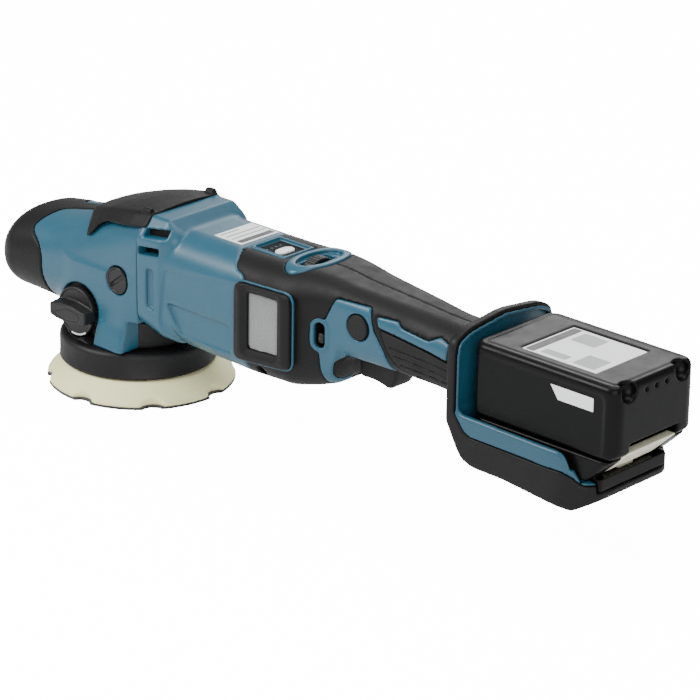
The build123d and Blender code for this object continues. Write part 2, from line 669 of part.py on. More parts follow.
def make_speed_dial():
    """Thumbwheel with a knurled rim, on a cross shaft."""
    wheel = rod_x(DIAL_RADIUS, (DIAL_X - DIAL_HALF, DIAL_X + DIAL_HALF), z=DIAL_Z)
    for index in range(30):
        groove = block((-5.0, 5.0), (-0.5, 0.5), (DIAL_RADIUS - 0.6, DIAL_RADIUS + 1.0))
        notch = Rot(12.0 * index, 0, 0) * groove
        wheel = wheel - Pos(DIAL_X, 0, DIAL_Z) * notch
    return wheel + rod_x(DIAL_STEM, (DIAL_X - 10.0, DIAL_X + 6.0), z=DIAL_Z)


# ---------------------------------------------------------------- handle
def panel_outline():
    """Side panel in front of the grip: (x, z) corners."""
    return [(190.2, 58.0), (187.8, 75.5), (179.5, 81.0), (179.5, 92.5), (188.0, 97.0), (199.5, 112.5),
            (222.0, 112.0), (226.0, 99.0), (233.0, 86.0), (240.5, 77.5), (203.5, 77.5), (196.0, 73.0),
            (195.0, 58.0)]


def strip_outline():
    return [(229.5, 108.5), (244.0, 109.0), (247.0, 106.0), (270.0, 103.0), (277.0, 107.0), (284.0, 105.0),
            (284.0, 96.0), (231.5, 102.5)]


def pad_outline():
    return [(232.5, 100.8), (284.0, 94.4), (298.0, 92.0), (298.0, 74.0), (258.0, 75.5), (243.0, 84.0)]


def skin(outline, depth, inset=0.0, corner=1.0):
    """A thin shell patch of the rear housing inside a side outline, on the left side."""
    patch = side_prism(outline, (-45.0, -5.0), corner)
    shell = housing(REAR_SECTIONS, inset) - housing(REAR_SECTIONS, inset + depth)
    piece = shell & patch
    return piece.solids().sort_by(SortBy.VOLUME)[-1]


def make_handle_shell():
    """Both handle halves as one body, before the split at Y = 0."""
    shell = housing(REAR_SECTIONS) - housing(REAR_SECTIONS, WALL)
    inner = housing(REAR_SECTIONS, 1.0)
    for x, z in HANDLE_SCREWS:
        shell = shell + (rod_y(SCREW_BOSS, (-40.0, 40.0), x, z) & inner)
    shell = shell - block((130.0, 132.2), (-60, 60), (30, 140))
    for x, z in HANDLE_SCREWS:
        shell = shell - rod_y(SCREW_RADIUS + GAP, (-60.0, 14.0), x, z)
        shell = shell - rod_y(3.5, (-60.0, -12.0), x, z)
    paddle_y = (-TRIGGER_HALF - 0.6, TRIGGER_HALF + 0.6)
    shell = shell - block((TRIGGER_X[0] - 0.6, TRIGGER_X[1] + 1.6), paddle_y, (50.0, 88.0))
    panel_y = (-PANEL_HALF - GAP, PANEL_HALF + GAP)
    shell = shell - block((PANEL_X[0] - GAP, PANEL_X[1] + GAP), panel_y, (100.0, 130.0))
    oval = Ellipse(DIAL_OVAL[0] + GAP, DIAL_OVAL[1] + GAP)
    shell = shell - plan_prism(Pos(DIAL_X, 0) * oval, (115.0, 130.0))
    for relief in both_sides(filter_outline(1.0, (-50.0, -36.0))):
        shell = shell - relief
    cut = housing(REAR_SECTIONS, -1.0) - housing(REAR_SECTIONS, 1.5 + GAP)
    for outline in (panel_outline(), strip_outline(), pad_outline()):
        for patch in both_sides(side_prism(outline, (-45.0, -5.0), 1.0)):
            shell = shell - (cut & patch)
    shell = shell - rod_y(LOCK_RADIUS + 1.2, (-40.0, -10.0), LOCK_X, LOCK_Z)
    shell = shell - slider_slot(0.3, (-40.0, -20.0))
    px, pz = TRIGGER_PIVOT
    for lug in both_sides(block((px - 3.5, px + 3.5), (-LUG_Y[1], -LUG_Y[0]), (74.0, pz + 3.5))):
        shell = shell + lug
    shell = shell - rod_y(PIN_RADIUS + GAP, (-PIN_HALF - GAP, PIN_HALF + GAP), px, pz)
    return shell - block((302.8, 320.0), (-60, 60), (30, 140))


def slider_slot(margin, y_span):
    """Upright rounded slot for the lock slider."""
    sketch = Pos(SLIDER_X, SLIDER_Z) * SlotOverall(15.0 + 2 * margin, 6.5 + 2 * margin, rotation=90)
    low, high = min(y_span), max(y_span)
    return extrude(Plane.XZ.offset(-high) * sketch, amount=high - low)


def make_handle_half(side):
    """One clamshell half; side is -1 for left and +1 for right."""
    keep = block((120.0, 320.0), (0.02 * side, 60.0 * side), (20.0, 140.0))
    half = make_handle_shell() & keep
    return half.solids().sort_by(SortBy.VOLUME)[-1]


def make_left_panel():
    """Left inlay, around the lock button and the slider."""
    panel = skin(panel_outline(), 1.5)
    panel = panel - rod_y(LOCK_RADIUS + RUN, (-45.0, 0.0), LOCK_X, LOCK_Z)
    return panel - slider_slot(0.05, (-45.0, 0.0))


def make_right_panel():
    return mirror(skin(panel_outline(), 1.5), Plane.XZ)


def make_grip_pads():
    """Ribbed rubber pads on both sides of the grip."""
    pad = skin(pad_outline(), 1.5, corner=2.0)
    for index in range(4):
        low = Plane(origin=(260.0, 0, 79.0 + 4.0 * index), x_dir=(1, 0, 0), z_dir=(0, -1, 0))
        groove = extrude(low * Rot(0, 0, -4.0) * Rectangle(64.0, 0.7), amount=40.0)
        pad = pad - (groove & (housing(REAR_SECTIONS, -1.0) - housing(REAR_SECTIONS, 0.7)))
    return group(both_sides(pad))


def make_accent_strips():
    return group(both_sides(skin(strip_outline(), 1.5)))


def make_lock_button():
    """Round button in the left panel, with a stem to the switch."""
    button = rod_y(LOCK_RADIUS, (-26.4, -21.0), LOCK_X, LOCK_Z)
    return button + rod_y(3.0, (-22.0, -17.0), LOCK_X, LOCK_Z)


def make_lock_slider():
    """Small thumb slider in the upright slot."""
    tab = block((SLIDER_X - 2.6, SLIDER_X + 2.6), (-29.0, -22.6), (SLIDER_Z - 6.0, SLIDER_Z + 1.0))
    return tab


def make_trigger():
    """Paddle under the handle, hung on a cross pin at its front."""
    px, pz = TRIGGER_PIVOT
    outline = [(203.4, 60.5), (228.0, 57.4), (238.5, 62.0), (241.5, 71.0), (243.0, 80.0), (222.0, 82.5),
               (203.4, 82.5)]
    paddle = side_prism(outline, (-TRIGGER_HALF, TRIGGER_HALF), 2.0)
    room = [(209.5, 66.0), (228.0, 63.0), (236.0, 68.0), (237.0, 77.0), (209.5, 77.0)]
    hollow = side_prism(room, (-7.0, 7.0))
    return paddle - hollow - rod_y(PIN_RADIUS + RUN, (-30.0, 30.0), px, pz)


def make_trigger_pin():
    px, pz = TRIGGER_PIVOT
    return rod_y(PIN_RADIUS, (-PIN_HALF, PIN_HALF), px, pz)


def make_switch():
    """Switch module with its plunger housing."""
    body = block((214.0, 245.0), (-11.0, 11.0), (89.5, 106.0))
    return body - rod_z(3.6, (88.0, 94.0), 232.0)


def coil_spring(radius, wire, height, turns):
    """A helical spring standing on the XY plane."""
    path = Helix(pitch=height / turns, height=height, radius=radius)
    ring = Plane(origin=path @ 0, z_dir=path % 0) * Circle(wire)
    return sweep(ring, path=path)


def make_trigger_spring():
    return Pos(232.0, 0, 82.4) * coil_spring(2.6, 0.35, 10.4, 6)


def make_controller():
    """Motor controller: capacitors and driver on a board in a finned aluminium tray."""
    tray = block((136.0, 176.0), (-26.0, 26.0), (60.0, 72.0))
    for index in range(9):
        y = -20.0 + 5.0 * index
        tray = tray - block((136.0, 176.0), (y - 1.2, y + 1.2), (58.0, 64.0))
    tray = tray - block((138.0, 174.0), (-24.0, 24.0), (70.5, 75.0))
    for index in range(3):
        tray = tray + rod_z(4.0, (70.0, 80.0), 145.0, -12.0 + 12.0 * index)
    return tray + block((155.0, 168.0), (-8.0, 8.0), (70.0, 74.0))


def wire(points, radius):
    """A round wire through points."""
    path = Spline(*points)
    ring = Plane(origin=path @ 0, z_dir=path % 0) * Circle(radius)
    return sweep(ring, path=path)


def make_wiring():
    """Battery leads, motor phase leads and the switch lead."""
    leads = []
    for index in range(2):
        y = -4.0 + 8.0 * index
        leads.append(wire([(305.9, y, 86.0), (285.0, y, 87.0), (262.0, y, 88.0), (246.4, y, 95.0)], 1.6))
    for index in range(3):
        y = -7.0 + 7.0 * index
        path = [(212.4, y, 97.0), (200.0, y, 94.0), (186.0, y, 82.0), (168.4, y * 0.6, 73.0)]
        leads.append(wire(path, 1.2))
    return group(leads)


def pan_screw():
    """Pan-head screw along Y: shank from -12 to 13, head before it, crossed slots."""
    screw = rod_y(SCREW_RADIUS, (-12.5, 13.0)) + rod_y(3.2, (-14.4, -12.05))
    return screw - Pos(0, -14.4, 0) * Box(0.9, 1.6, 4.0) - Pos(0, -14.4, 0) * Box(4.0, 1.6, 0.9)


def make_housing_screws():
    """Five screws through the handle halves and four from the motor housing into the gear case."""
    screws = [Pos(x, 0, z) * pan_screw() for x, z in HANDLE_SCREWS]
    turned = Rot(0, 0, 90) * pan_screw()
    screws.extend(Pos(31.5, y, z) * turned for y, z in CASE_SCREWS)
    return group(screws)


# ---------------------------------------------------------------- base for the battery
def base_side(inset):
    """Side outline of the base: guard wall in front, tray below the battery."""
    return [
        (WALL_X[0] + inset, 130.0 - inset),
        (WALL_X[1] - inset * 0.4, 130.0 - inset),
        (WALL_X[1] - inset * 0.4, TRAY_TOP),
        (389.0, TRAY_TOP),
        (398.0, TRAY_REAR + 4.0),
        (403.0, TRAY_REAR),
        (411.0 - inset, TRAY_REAR),
        (409.0 - inset, 45.0 + inset),
        (397.0 - inset, 40.6 + inset),
        (372.0, 42.0 + inset),
        (352.0, 44.7 + inset),
        (316.0 + inset, 45.6 + inset),
        (WALL_X[0] + inset, 68.0 + inset),
    ]


def base_plan(inset):
    """Plan outline of the base: square in front, rounded behind."""
    half = BASE_HALF - inset
    points = [(WALL_X[0], -half), (375.0, -half), (400.0, -half + 13.0), (411.0 - inset, -half + 28.0),
              (411.0 - inset, half - 28.0), (400.0, half - 13.0), (375.0, half), (WALL_X[0], half)]
    return make_face(Polyline(*points, close=True))


def base_body(inset):
    """Solid base with rounded upright corners on the guard wall."""
    half = BASE_HALF - inset
    slope = [(half, 30.0), (half, 114.0 - inset), (half - 3.5, 121.0 - inset), (half - 11.0, 124.7 - inset)]
    mirrored = [(-y, z) for y, z in reversed(slope)]
    gable = slope + [(0.0, 129.2 - inset)] + mirrored
    solid = side_prism(base_side(inset), (-half, half)) & plan_prism(base_plan(inset), (30.0, 140.0))
    return solid & front_prism(gable, (290.0, 420.0))


def battery_space():
    """Room that the battery sweeps when it slides out of the base."""
    room = block((WALL_X[1] + 0.5, 450.0), (-BATTERY_HALF - 0.6, BATTERY_HALF + 0.6), (59.4, 140.0))
    tongue = block((WALL_X[1] + 0.5, 450.0), (-RAIL_BLOCK_HALF - 0.3, RAIL_BLOCK_HALF + 0.3), (52.4, 60.0))
    return room + tongue


def rail_lips():
    """Two lips that the battery's grooves slide on."""
    return both_sides(block((320.0, 384.0), (-RAIL_BLOCK_HALF - 0.5, -27.4), (56.4, 58.4)))


def make_base_frame():
    """Stiff base: guard wall, tray, rails and latch groove."""
    body = base_body(RUBBER)
    body = body - battery_space()
    lips = rail_lips()
    body = body + lips[0] + lips[1]
    body = body - block((392.0, 430.0), (-9.0, 9.0), (48.5, 64.0))
    body = body - block((300.0, 315.0), (-12.0, 12.0), (80.0, 92.0))
    body = body - block((307.5, 316.0), (-20.1, 20.1), (65.9, 78.1))
    return body


def make_base_bumper():
    """Rubber around the base, open above the tray's side bands."""
    outer = base_body(0.0) - base_body(RUBBER - GAP)
    for band in both_sides(block((WALL_X[1] - 2.0, 430.0), (-60.0, -36.0), (BAND_LOW, 140.0))):
        outer = outer - band
    rear_open = block((398.0, 430.0), (-60.0, 60.0), (BAND_REAR, 140.0))
    wall_top = block((WALL_X[1] - 2.0, 330.0), (-60.0, 60.0), (BAND_LOW, 140.0))
    lead_hole = block((300.0, 306.0), (-12.0, 12.0), (80.0, 92.0))
    bumper = outer - rear_open - wall_top - lead_hole - battery_space()
    return bumper.solids().sort_by(SortBy.VOLUME)[-1]


def make_terminal_block():
    """Contact carrier on the guard wall, with three moulded-in blades."""
    carrier = block((307.6, 314.0), (-20.0, 20.0), (66.0, 78.0))
    for y in CONTACT_Y:
        carrier = carrier + block((313.0, 326.0), (y - 0.6, y + 0.6), (67.0, 72.0))
    return carrier


# ---------------------------------------------------------------- battery
def make_battery_case():
    """Upper cover of the slide-on battery, hollow, with a sunken label field."""
    x0, x1 = BATTERY_X
    case = block(BATTERY_X, (-BATTERY_HALF, BATTERY_HALF), (LID_TOP + GAP, BATTERY_Z[1]))
    case = fillet(case.edges().filter_by(Axis.Z), 9.0)
    case = chamfer(case.faces().sort_by(Axis.Z)[-1].edges(), 2.5)
    inner_half = BATTERY_HALF - 2.2
    case = case - block((x0 + 2.2, x1 - 2.2), (-inner_half, inner_half), (70.0, BATTERY_Z[1] - 2.6))
    case = case - block((341.7, 398.6), (-24.3, 24.3), (BATTERY_Z[1] - 0.8, 130.0))
    for side in (-1, 1):
        case = case - block((318.0, 414.0), (side * 36.1, side * 45.0), (79.0, 117.5))
        case = case - rod_z(4.2, (112.0, 130.0), 419.0, side * 24.0)
    return case


def make_battery_lid():
    """Lower cover with the grooved tongue that slides on the rails."""
    x0, x1 = BATTERY_X
    lid = block((x0, x1), (-BATTERY_HALF, BATTERY_HALF), (BATTERY_Z[0], LID_TOP))
    lid = fillet(lid.edges().filter_by(Axis.Z), 9.0)
    cavity_half = BATTERY_HALF - 7.0
    lid = lid - block((x0 + 2.2, x1 - 2.2), (-cavity_half, cavity_half), (BATTERY_Z[0] + 2.2, 80.0))
    tongue_z = (RAIL_BLOCK_LOW, BATTERY_Z[0] + 1.0)
    lid = lid + block((x0 + 3.0, 400.0), (-RAIL_BLOCK_HALF, RAIL_BLOCK_HALF), tongue_z)
    for groove in both_sides(block((x0, 386.0), (-RAIL_BLOCK_HALF - 1.0, -27.0), (56.0, 58.8))):
        lid = lid - groove
    for y in CONTACT_Y:
        lid = lid - block((310.0, 329.0), (y - 1.2, y + 1.2), (66.4, 72.6))
    lid = lid - block((404.0, 430.0), (-22.0, 22.0), (BATTERY_Z[0] - 1.0, 75.5))
    return lid - block((397.0, 405.0), (-8.5, 8.5), (50.0, 75.5))


def make_battery_cells():
    """Ten round cells in two layers of five."""
    cells = []
    for column in range(5):
        for layer in range(2):
            x = 328.0 + 2 * (CELL_RADIUS + 0.2) * column
            z = 108.5 - 2 * (CELL_RADIUS + 0.2) * layer
            cells.append(rod_y(CELL_RADIUS, (-CELL_LENGTH / 2, CELL_LENGTH / 2), x, z))
    return group(cells)


def make_battery_button():
    """Release button at the rear of the battery, with the latch hook below it."""
    face = block((407.0, 423.4), (-21.6, 21.6), (BATTERY_Z[0] + 0.4, 70.0))
    slope = side_prism([(424.0, 58.0), (424.0, 66.0), (414.0, 58.0)], (-30.0, 30.0))
    arm = block((398.0, 408.0), (-8.0, 8.0), (64.0, 68.0))
    hook = side_prism([(398.0, 66.0), (398.0, 51.0), (404.0, 54.0), (404.0, 66.0)], (-7.0, 7.0))
    return face - slope + arm + hook


# ---------------------------------------------------------------- write every node
def main():
    save("hook_face", make_hook_face())
    save("backing_pad", make_backing_pad())
    save("pad_plate", make_pad_plate())
    save("pad_shaft", make_pad_shaft())
    save("pad_bolt", make_pad_bolt())
    save("pad_bearing", make_pad_bearing())
    save("hub_gear", make_hub_gear())
    save("ring_gear", make_ring_gear())
    save("spindle", make_spindle())
    save("counterweight", make_counterweight())
    save("lower_spindle_bearing", make_main_bearing(17.5, 7.5, (46.0, 57.0)))
    save("upper_spindle_bearing", make_main_bearing(15.0, 5.0, (60.2, 69.2)))
    save("crown_gear", make_crown_gear())
    save("spindle_nut", make_spindle_nut())
    save("pinion", make_pinion())
    save("motor_shaft", make_motor_shaft())
    save("rotor", make_rotor())
    save("stator", make_stator())
    save("windings", make_windings())
    save("cooling_fan", make_fan())
    save("front_motor_bearing", make_bearing_x(14.0, 6.0, FRONT_BEARING_X))
    save("rear_motor_bearing", make_bearing_x(11.0, 4.0, REAR_BEARING_X))
    save("motor_bracket", make_motor_bracket())
    save("gear_case", make_gear_case())
    save("head_housing", make_head_housing())
    save("nose_grip", make_nose_grip())
    save("top_bumper", make_top_bumper())
    save("side_cap", make_side_cap())
    save("pad_shroud", make_pad_shroud())
    save("mode_knob", make_mode_knob())
    save("motor_housing", make_motor_housing())
    save("filter_frames", group(both_sides(make_filter_frame())))
    save("filter_screens", group(both_sides(make_filter_mesh())))
    save("indicator_panel", make_indicator_panel())
    save("panel_button", make_panel_button())
    save("control_board", make_control_board())
    save("dial_bezel", make_dial_bezel())
    save("speed_dial", make_speed_dial())
    save("handle_left", make_handle_half(-1))
    save("handle_right", make_handle_half(1))
    save("side_panel_left", make_left_panel())
    save("side_panel_right", make_right_panel())
    save("grip_pads", make_grip_pads())
    save("accent_strips", make_accent_strips())
    save("lock_button", make_lock_button())
    save("lock_slider", make_lock_slider())
    save("trigger", make_trigger())
    save("trigger_pin", make_trigger_pin())
    save("switch", make_switch())
    save("trigger_spring", make_trigger_spring())
    save("controller", make_controller())
    save("wiring", make_wiring())
    save("housing_screws", make_housing_screws())
    save("base_frame", make_base_frame())
    save("base_bumper", make_base_bumper())
    save("terminal_block", make_terminal_block())
    save("battery_case", make_battery_case())
    save("battery_lid", make_battery_lid())
    save("battery_cells", make_battery_cells())
    save("battery_button", make_battery_button())


main()
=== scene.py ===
import json
import math
from functools import reduce

import bmesh
import bpy
import numpy as np
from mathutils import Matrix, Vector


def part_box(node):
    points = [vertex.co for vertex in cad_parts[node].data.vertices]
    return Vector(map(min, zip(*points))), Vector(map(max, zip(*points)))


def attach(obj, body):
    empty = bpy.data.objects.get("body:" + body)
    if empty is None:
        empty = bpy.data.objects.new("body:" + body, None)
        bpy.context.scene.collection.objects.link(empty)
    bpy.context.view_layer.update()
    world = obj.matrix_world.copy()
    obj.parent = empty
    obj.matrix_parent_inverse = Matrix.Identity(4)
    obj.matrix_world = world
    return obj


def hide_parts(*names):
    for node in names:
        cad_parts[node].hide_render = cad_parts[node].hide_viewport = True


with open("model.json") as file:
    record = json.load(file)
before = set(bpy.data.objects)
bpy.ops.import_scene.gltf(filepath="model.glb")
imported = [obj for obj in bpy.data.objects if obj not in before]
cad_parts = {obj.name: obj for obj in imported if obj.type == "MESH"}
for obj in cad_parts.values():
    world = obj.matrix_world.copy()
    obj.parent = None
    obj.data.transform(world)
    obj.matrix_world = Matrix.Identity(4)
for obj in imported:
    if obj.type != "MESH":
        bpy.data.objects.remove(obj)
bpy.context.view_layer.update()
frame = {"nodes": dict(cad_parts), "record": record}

import openvdb
from mathutils import Matrix, Vector

# Dual action polisher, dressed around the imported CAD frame.
# Shapes are described in millimetres as distance fields, meshed with OpenVDB, and stored in metres.

MM = 0.001
FINE = 0.7
COARSE = 0.85


def node_box(node):
    """Lowest and highest corners of a CAD node, in millimetres."""
    low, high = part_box(node)
    return np.array(low) / MM, np.array(high) / MM


# ---- distance fields
def smooth_min(a, b, k):
    """Union with a fillet of about k."""
    h = np.clip(0.5 + 0.5 * (b - a) / k, 0, 1)
    return b + (a - b) * h - k * h * (1 - h)


def smooth_max(a, b, k):
    """Intersection with a rounded edge of about k."""
    return -smooth_min(-a, -b, k)


def cut(a, b, k=0.8):
    """a without b, with a softened edge."""
    return smooth_max(a, -b, k)


def carve(body, *holes):
    """body without each hole in turn, given as field and edge softness."""
    for hole, softness in holes:
        body = cut(body, hole, softness)
    return body


def meet(*fields):
    """Space that all the fields share, with sharp edges."""
    return reduce(np.maximum, fields)


def round_corners(points, radius, segments=5):
    """The outline with each corner replaced by an arc-like curve."""
    rounded = []
    count = len(points)
    for index in range(count):
        before = np.array(points[index - 1], float)
        corner = np.array(points[index], float)
        after = np.array(points[(index + 1) % count], float)
        reach_in = min(radius, 0.45 * np.linalg.norm(before - corner))
        reach_out = min(radius, 0.45 * np.linalg.norm(after - corner))
        start = corner + (before - corner) / np.linalg.norm(before - corner) * reach_in
        end = corner + (after - corner) / np.linalg.norm(after - corner) * reach_out
        for t in np.linspace(0, 1, segments):
            rounded.append((1 - t) ** 2 * start + 2 * t * (1 - t) * corner + t * t * end)
    return rounded


def outline(u, v, points, radius=0.0):
    """Signed distance to a closed outline, negative inside."""
    corners = np.array(round_corners(points, radius) if radius else points, float)
    nearest = np.inf
    inside = False
    for a, b in zip(corners, np.roll(corners, -1, 0)):
        edge = b - a
        du, dv = u - a[0], v - a[1]
        along = np.clip((du * edge[0] + dv * edge[1]) / max(edge @ edge, 1e-9), 0, 1)
        nearest = np.minimum(nearest, (du - edge[0] * along) ** 2 + (dv - edge[1] * along) ** 2)
        rise = edge[1] if abs(edge[1]) > 1e-9 else 1e-9
        crosses = ((a[1] > v) != (b[1] > v)) & (u < edge[0] * (v - a[1]) / rise + a[0])
        inside = inside ^ crosses
    return np.where(inside, -1.0, 1.0) * np.sqrt(nearest)


def rounded_rect(du, dv, half_u, half_v, radius):
    """Distance to a rectangle with round corners, from offsets to its middle."""
    qu, qv = abs(du) - (half_u - radius), abs(dv) - (half_v - radius)
    return np.hypot(np.maximum(qu, 0), np.maximum(qv, 0)) + np.minimum(np.maximum(qu, qv), 0) - radius


def rounded_box(x, y, z, low, high, radius):
    """Box with rounded edges."""
    mid = [(a + b) / 2 for a, b in zip(low, high)]
    half = [(b - a) / 2 - radius for a, b in zip(low, high)]
    q = [abs(c - m) - h for c, m, h in zip((x, y, z), mid, half)]
    outside = np.sqrt(sum(np.maximum(c, 0) ** 2 for c in q))
    inside = np.minimum(meet(*q), 0)
    return outside + inside - radius


def slab(value, low, high):
    """Distance to the space between two parallel planes."""
    return abs(value - (low + high) / 2) - (high - low) / 2


def disc(u, v, cu, cv, radius):
    """Distance to an endless round bar."""
    return np.sqrt((u - cu) ** 2 + (v - cv) ** 2) - radius


def profile(x, stations, column, softness):
    """A station table's column as a smooth curve along x."""
    knots = np.array([row[0] for row in stations], float)
    values = np.array([row[column] for row in stations], float)
    fine = np.arange(knots[0] - 60, knots[-1] + 60, 0.5)
    curve = np.interp(fine, knots, values)
    reach = int(3 * softness / 0.5)
    kernel = np.exp(-0.5 * (np.arange(-reach, reach + 1) * 0.5 / softness) ** 2)
    padded = np.pad(curve, reach, mode="edge")
    curve = np.convolve(padded, kernel / kernel.sum(), mode="valid")
    return np.interp(x, fine, curve)


def section(x, stations, softness):
    """A station table's four values along x."""
    return [profile(x, stations, column + 1, soft) for column, soft in enumerate(softness)]


def crowned(y, z, half, low, high, power, reach):
    """Section with crowned sides and top, rounded off at the nose as reach grows to 1."""
    mid, tall = (low + high) / 2, (high - low) / 2
    u, v = abs(y) / half + 1e-6, abs(z - mid) / tall + 1e-6
    q = (u ** power + v ** power) ** (1 / power)
    slope = np.sqrt((u ** (power - 1) / half) ** 2 + (v ** (power - 1) / tall) ** 2) * q ** (1 - power)
    whole = np.sqrt(q ** 2 + reach ** 2)
    steep = np.sqrt((slope * q) ** 2 + (reach / NOSE_ROUND) ** 2) / whole
    return (whole - 1) / np.maximum(steep, 1e-6)


def boxy(y, z, half, low, high, radius):
    """Distance to a section with flat sides and round corners."""
    return rounded_rect(y, z - (low + high) / 2, half, (high - low) / 2, radius)


# ---- from field to mesh
def place(name, data):
    """A new object in the scene."""
    obj = bpy.data.objects.new(name, data)
    bpy.context.scene.collection.objects.link(obj)
    return obj


def finish_mesh(name, vertices, faces, material):
    """A smooth-shaded object from millimetre vertices."""
    mesh = bpy.data.meshes.new(name)
    mesh.from_pydata((np.asarray(vertices, float) * MM).tolist(), [], [tuple(map(int, f)) for f in faces])
    mesh.materials.append(material)
    mesh.polygons.foreach_set("use_smooth", [True] * len(mesh.polygons))
    mesh.update()
    return place(name, mesh)


def piece(obj, stands_for=(), body="housing"):
    """Registers a finished object with the frame."""
    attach(obj, body)
    if stands_for:
        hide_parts(*stands_for)
    return obj


def mold(name, low, high, step, field, material, relax=2):
    """Meshes a distance field inside a box."""
    pad = 3 * step
    axes = [np.arange(a - pad, b + pad, step) for a, b in zip(low, high)]
    x = axes[0][:, None, None]
    y = axes[1][None, :, None]
    z = axes[2][None, None, :]
    values = np.broadcast_to(field(x, y, z), [len(a) for a in axes]).astype(np.float32)
    values = np.clip(values, -2.5 * step, 2.5 * step)
    values[[0, -1], :, :] = 2.5 * step
    values[:, [0, -1], :] = 2.5 * step
    values[:, :, [0, -1]] = 2.5 * step
    grid = openvdb.FloatGrid(2.5 * step)
    grid.copyFromArray(np.ascontiguousarray(values))
    points, triangles, quads = grid.convertToPolygons(0.0, 0.0)
    points = np.array(points) * step + np.array([a[0] for a in axes])
    faces = [q[::-1] for q in quads] + [t[::-1] for t in triangles]
    obj = finish_mesh(name, points, faces, material)
    if relax:
        smooth = obj.modifiers.new("relax", "SMOOTH")
        smooth.factor = 0.45
        smooth.iterations = relax
        apply_modifiers(obj)
    return obj


def apply_modifiers(obj):
    """Bakes an object's modifiers into its mesh."""
    graph = bpy.context.evaluated_depsgraph_get()
    baked = bpy.data.meshes.new_from_object(obj.evaluated_get(graph))
    old = obj.data
    obj.modifiers.clear()
    obj.data = baked
    bpy.data.meshes.remove(old)


def sharpen(obj, degrees=35):
    """Flat-to-flat edges stay crisp, round ones stay smooth."""
    obj.data.set_sharp_from_angle(angle=math.radians(degrees))


def lathe(name, profile_points, material, segments):
    """A turned shape around Z from (radius, z) points."""
    count = len(profile_points)
    vertices, faces = [], []
    for index in range(segments):
        angle = 2 * math.pi * index / segments
        for radius, z in profile_points:
            vertices.append((radius * math.cos(angle), radius * math.sin(angle), z))
    for index in range(segments):
        here, there = index * count, (index + 1) % segments * count
        for row in range(count):
            follow = (row + 1) % count
            faces.append((here + row, there + row, there + follow, here + follow))
    return finish_mesh(name, vertices, faces, material)


# ---- materials
def nodes_of(name):
    """A new material with its node tree, principled shader and object coordinates."""
    material = bpy.data.materials.new(name)
    material.use_nodes = True
    tree = material.node_tree
    shader = tree.nodes["Principled BSDF"]
    coords = tree.nodes.new("ShaderNodeTexCoord")
    return material, tree, shader, coords.outputs["Object"]


def fill(node, inputs):
    """Links or sets the inputs of a shader node."""
    for socket, value in inputs.items():
        if isinstance(value, bpy.types.NodeSocket):
            node.id_data.links.new(value, node.inputs[socket])
        else:
            node.inputs[socket].default_value = value


def add(tree, kind, inputs, output):
    """One output of a new shader node."""
    node = tree.nodes.new("ShaderNode" + kind)
    fill(node, inputs)
    return node.outputs[output]


def noise(tree, vector, scale, detail=2.0, rough=0.5):
    """Soft noise from 0 to 1."""
    inputs = {"Vector": vector, "Scale": scale, "Detail": detail, "Roughness": rough}
    return add(tree, "TexNoise", inputs, "Fac")


def ramp(tree, value, low, high, at_low, at_high):
    """Remaps a value between two ends."""
    inputs = {"Value": value, "From Min": low, "From Max": high, "To Min": at_low, "To Max": at_high}
    return add(tree, "MapRange", inputs, "Result")


def mix_colour(tree, factor, first, second):
    """Blends two colours, each plain or from a socket."""
    node = tree.nodes.new("ShaderNodeMix")
    node.data_type = "RGBA"
    ends = [end if isinstance(end, bpy.types.NodeSocket) else (*end, 1.0) for end in (first, second)]
    fill(node, {0: factor, 6: ends[0], 7: ends[1]})
    return node.outputs[2]


def bump(tree, height, strength, distance, normal=None):
    """A normal raised by a height, on top of an earlier one."""
    inputs = {"Height": height, "Strength": strength, "Distance": distance}
    if normal is not None:
        inputs["Normal"] = normal
    return add(tree, "Bump", inputs, "Normal")


def moulded(name, colour, roughness, grain, grain_size=900.0, gloss=0.4):
    """Moulded plastic or rubber: fine spark-eroded grain and faint blotches."""
    material, tree, shader, coords = nodes_of(name)
    blotch = noise(tree, coords, 30.0, 4.0, 0.6)
    patch = noise(tree, coords, 90.0, 3.0, 0.6)
    fine = noise(tree, coords, grain_size, 2.0, 0.6)
    light = [min(1.0, c * 1.08) for c in colour]
    fill(shader, {
        "Base Color": mix_colour(tree, blotch, [c * 0.90 for c in colour], light),
        "Roughness": ramp(tree, patch, 0.3, 0.7, roughness - 0.05, roughness + 0.06),
        "Normal": bump(tree, fine, grain, 0.0002),
        "Specular IOR Level": gloss,
    })
    return material


def metal(name, colour, roughness, streak_scale, streak_axis=2, spark=0.15):
    """Machined metal with fine tool marks along one axis."""
    material, tree, shader, coords = nodes_of(name)
    scale = [streak_scale] * 3
    scale[streak_axis] = streak_scale * 0.04
    marks = noise(tree, add(tree, "Mapping", {"Vector": coords, "Scale": scale}, "Vector"), 1.0, 3.0, 0.7)
    stain = noise(tree, coords, 60.0, 3.0)
    fill(shader, {
        "Base Color": mix_colour(tree, stain, [c * 0.8 for c in colour], colour),
        "Roughness": ramp(tree, marks, 0.2, 0.8, roughness - 0.1, roughness + 0.12),
        "Normal": bump(tree, marks, spark, 0.0001),
        "Metallic": 1.0,
    })
    return material


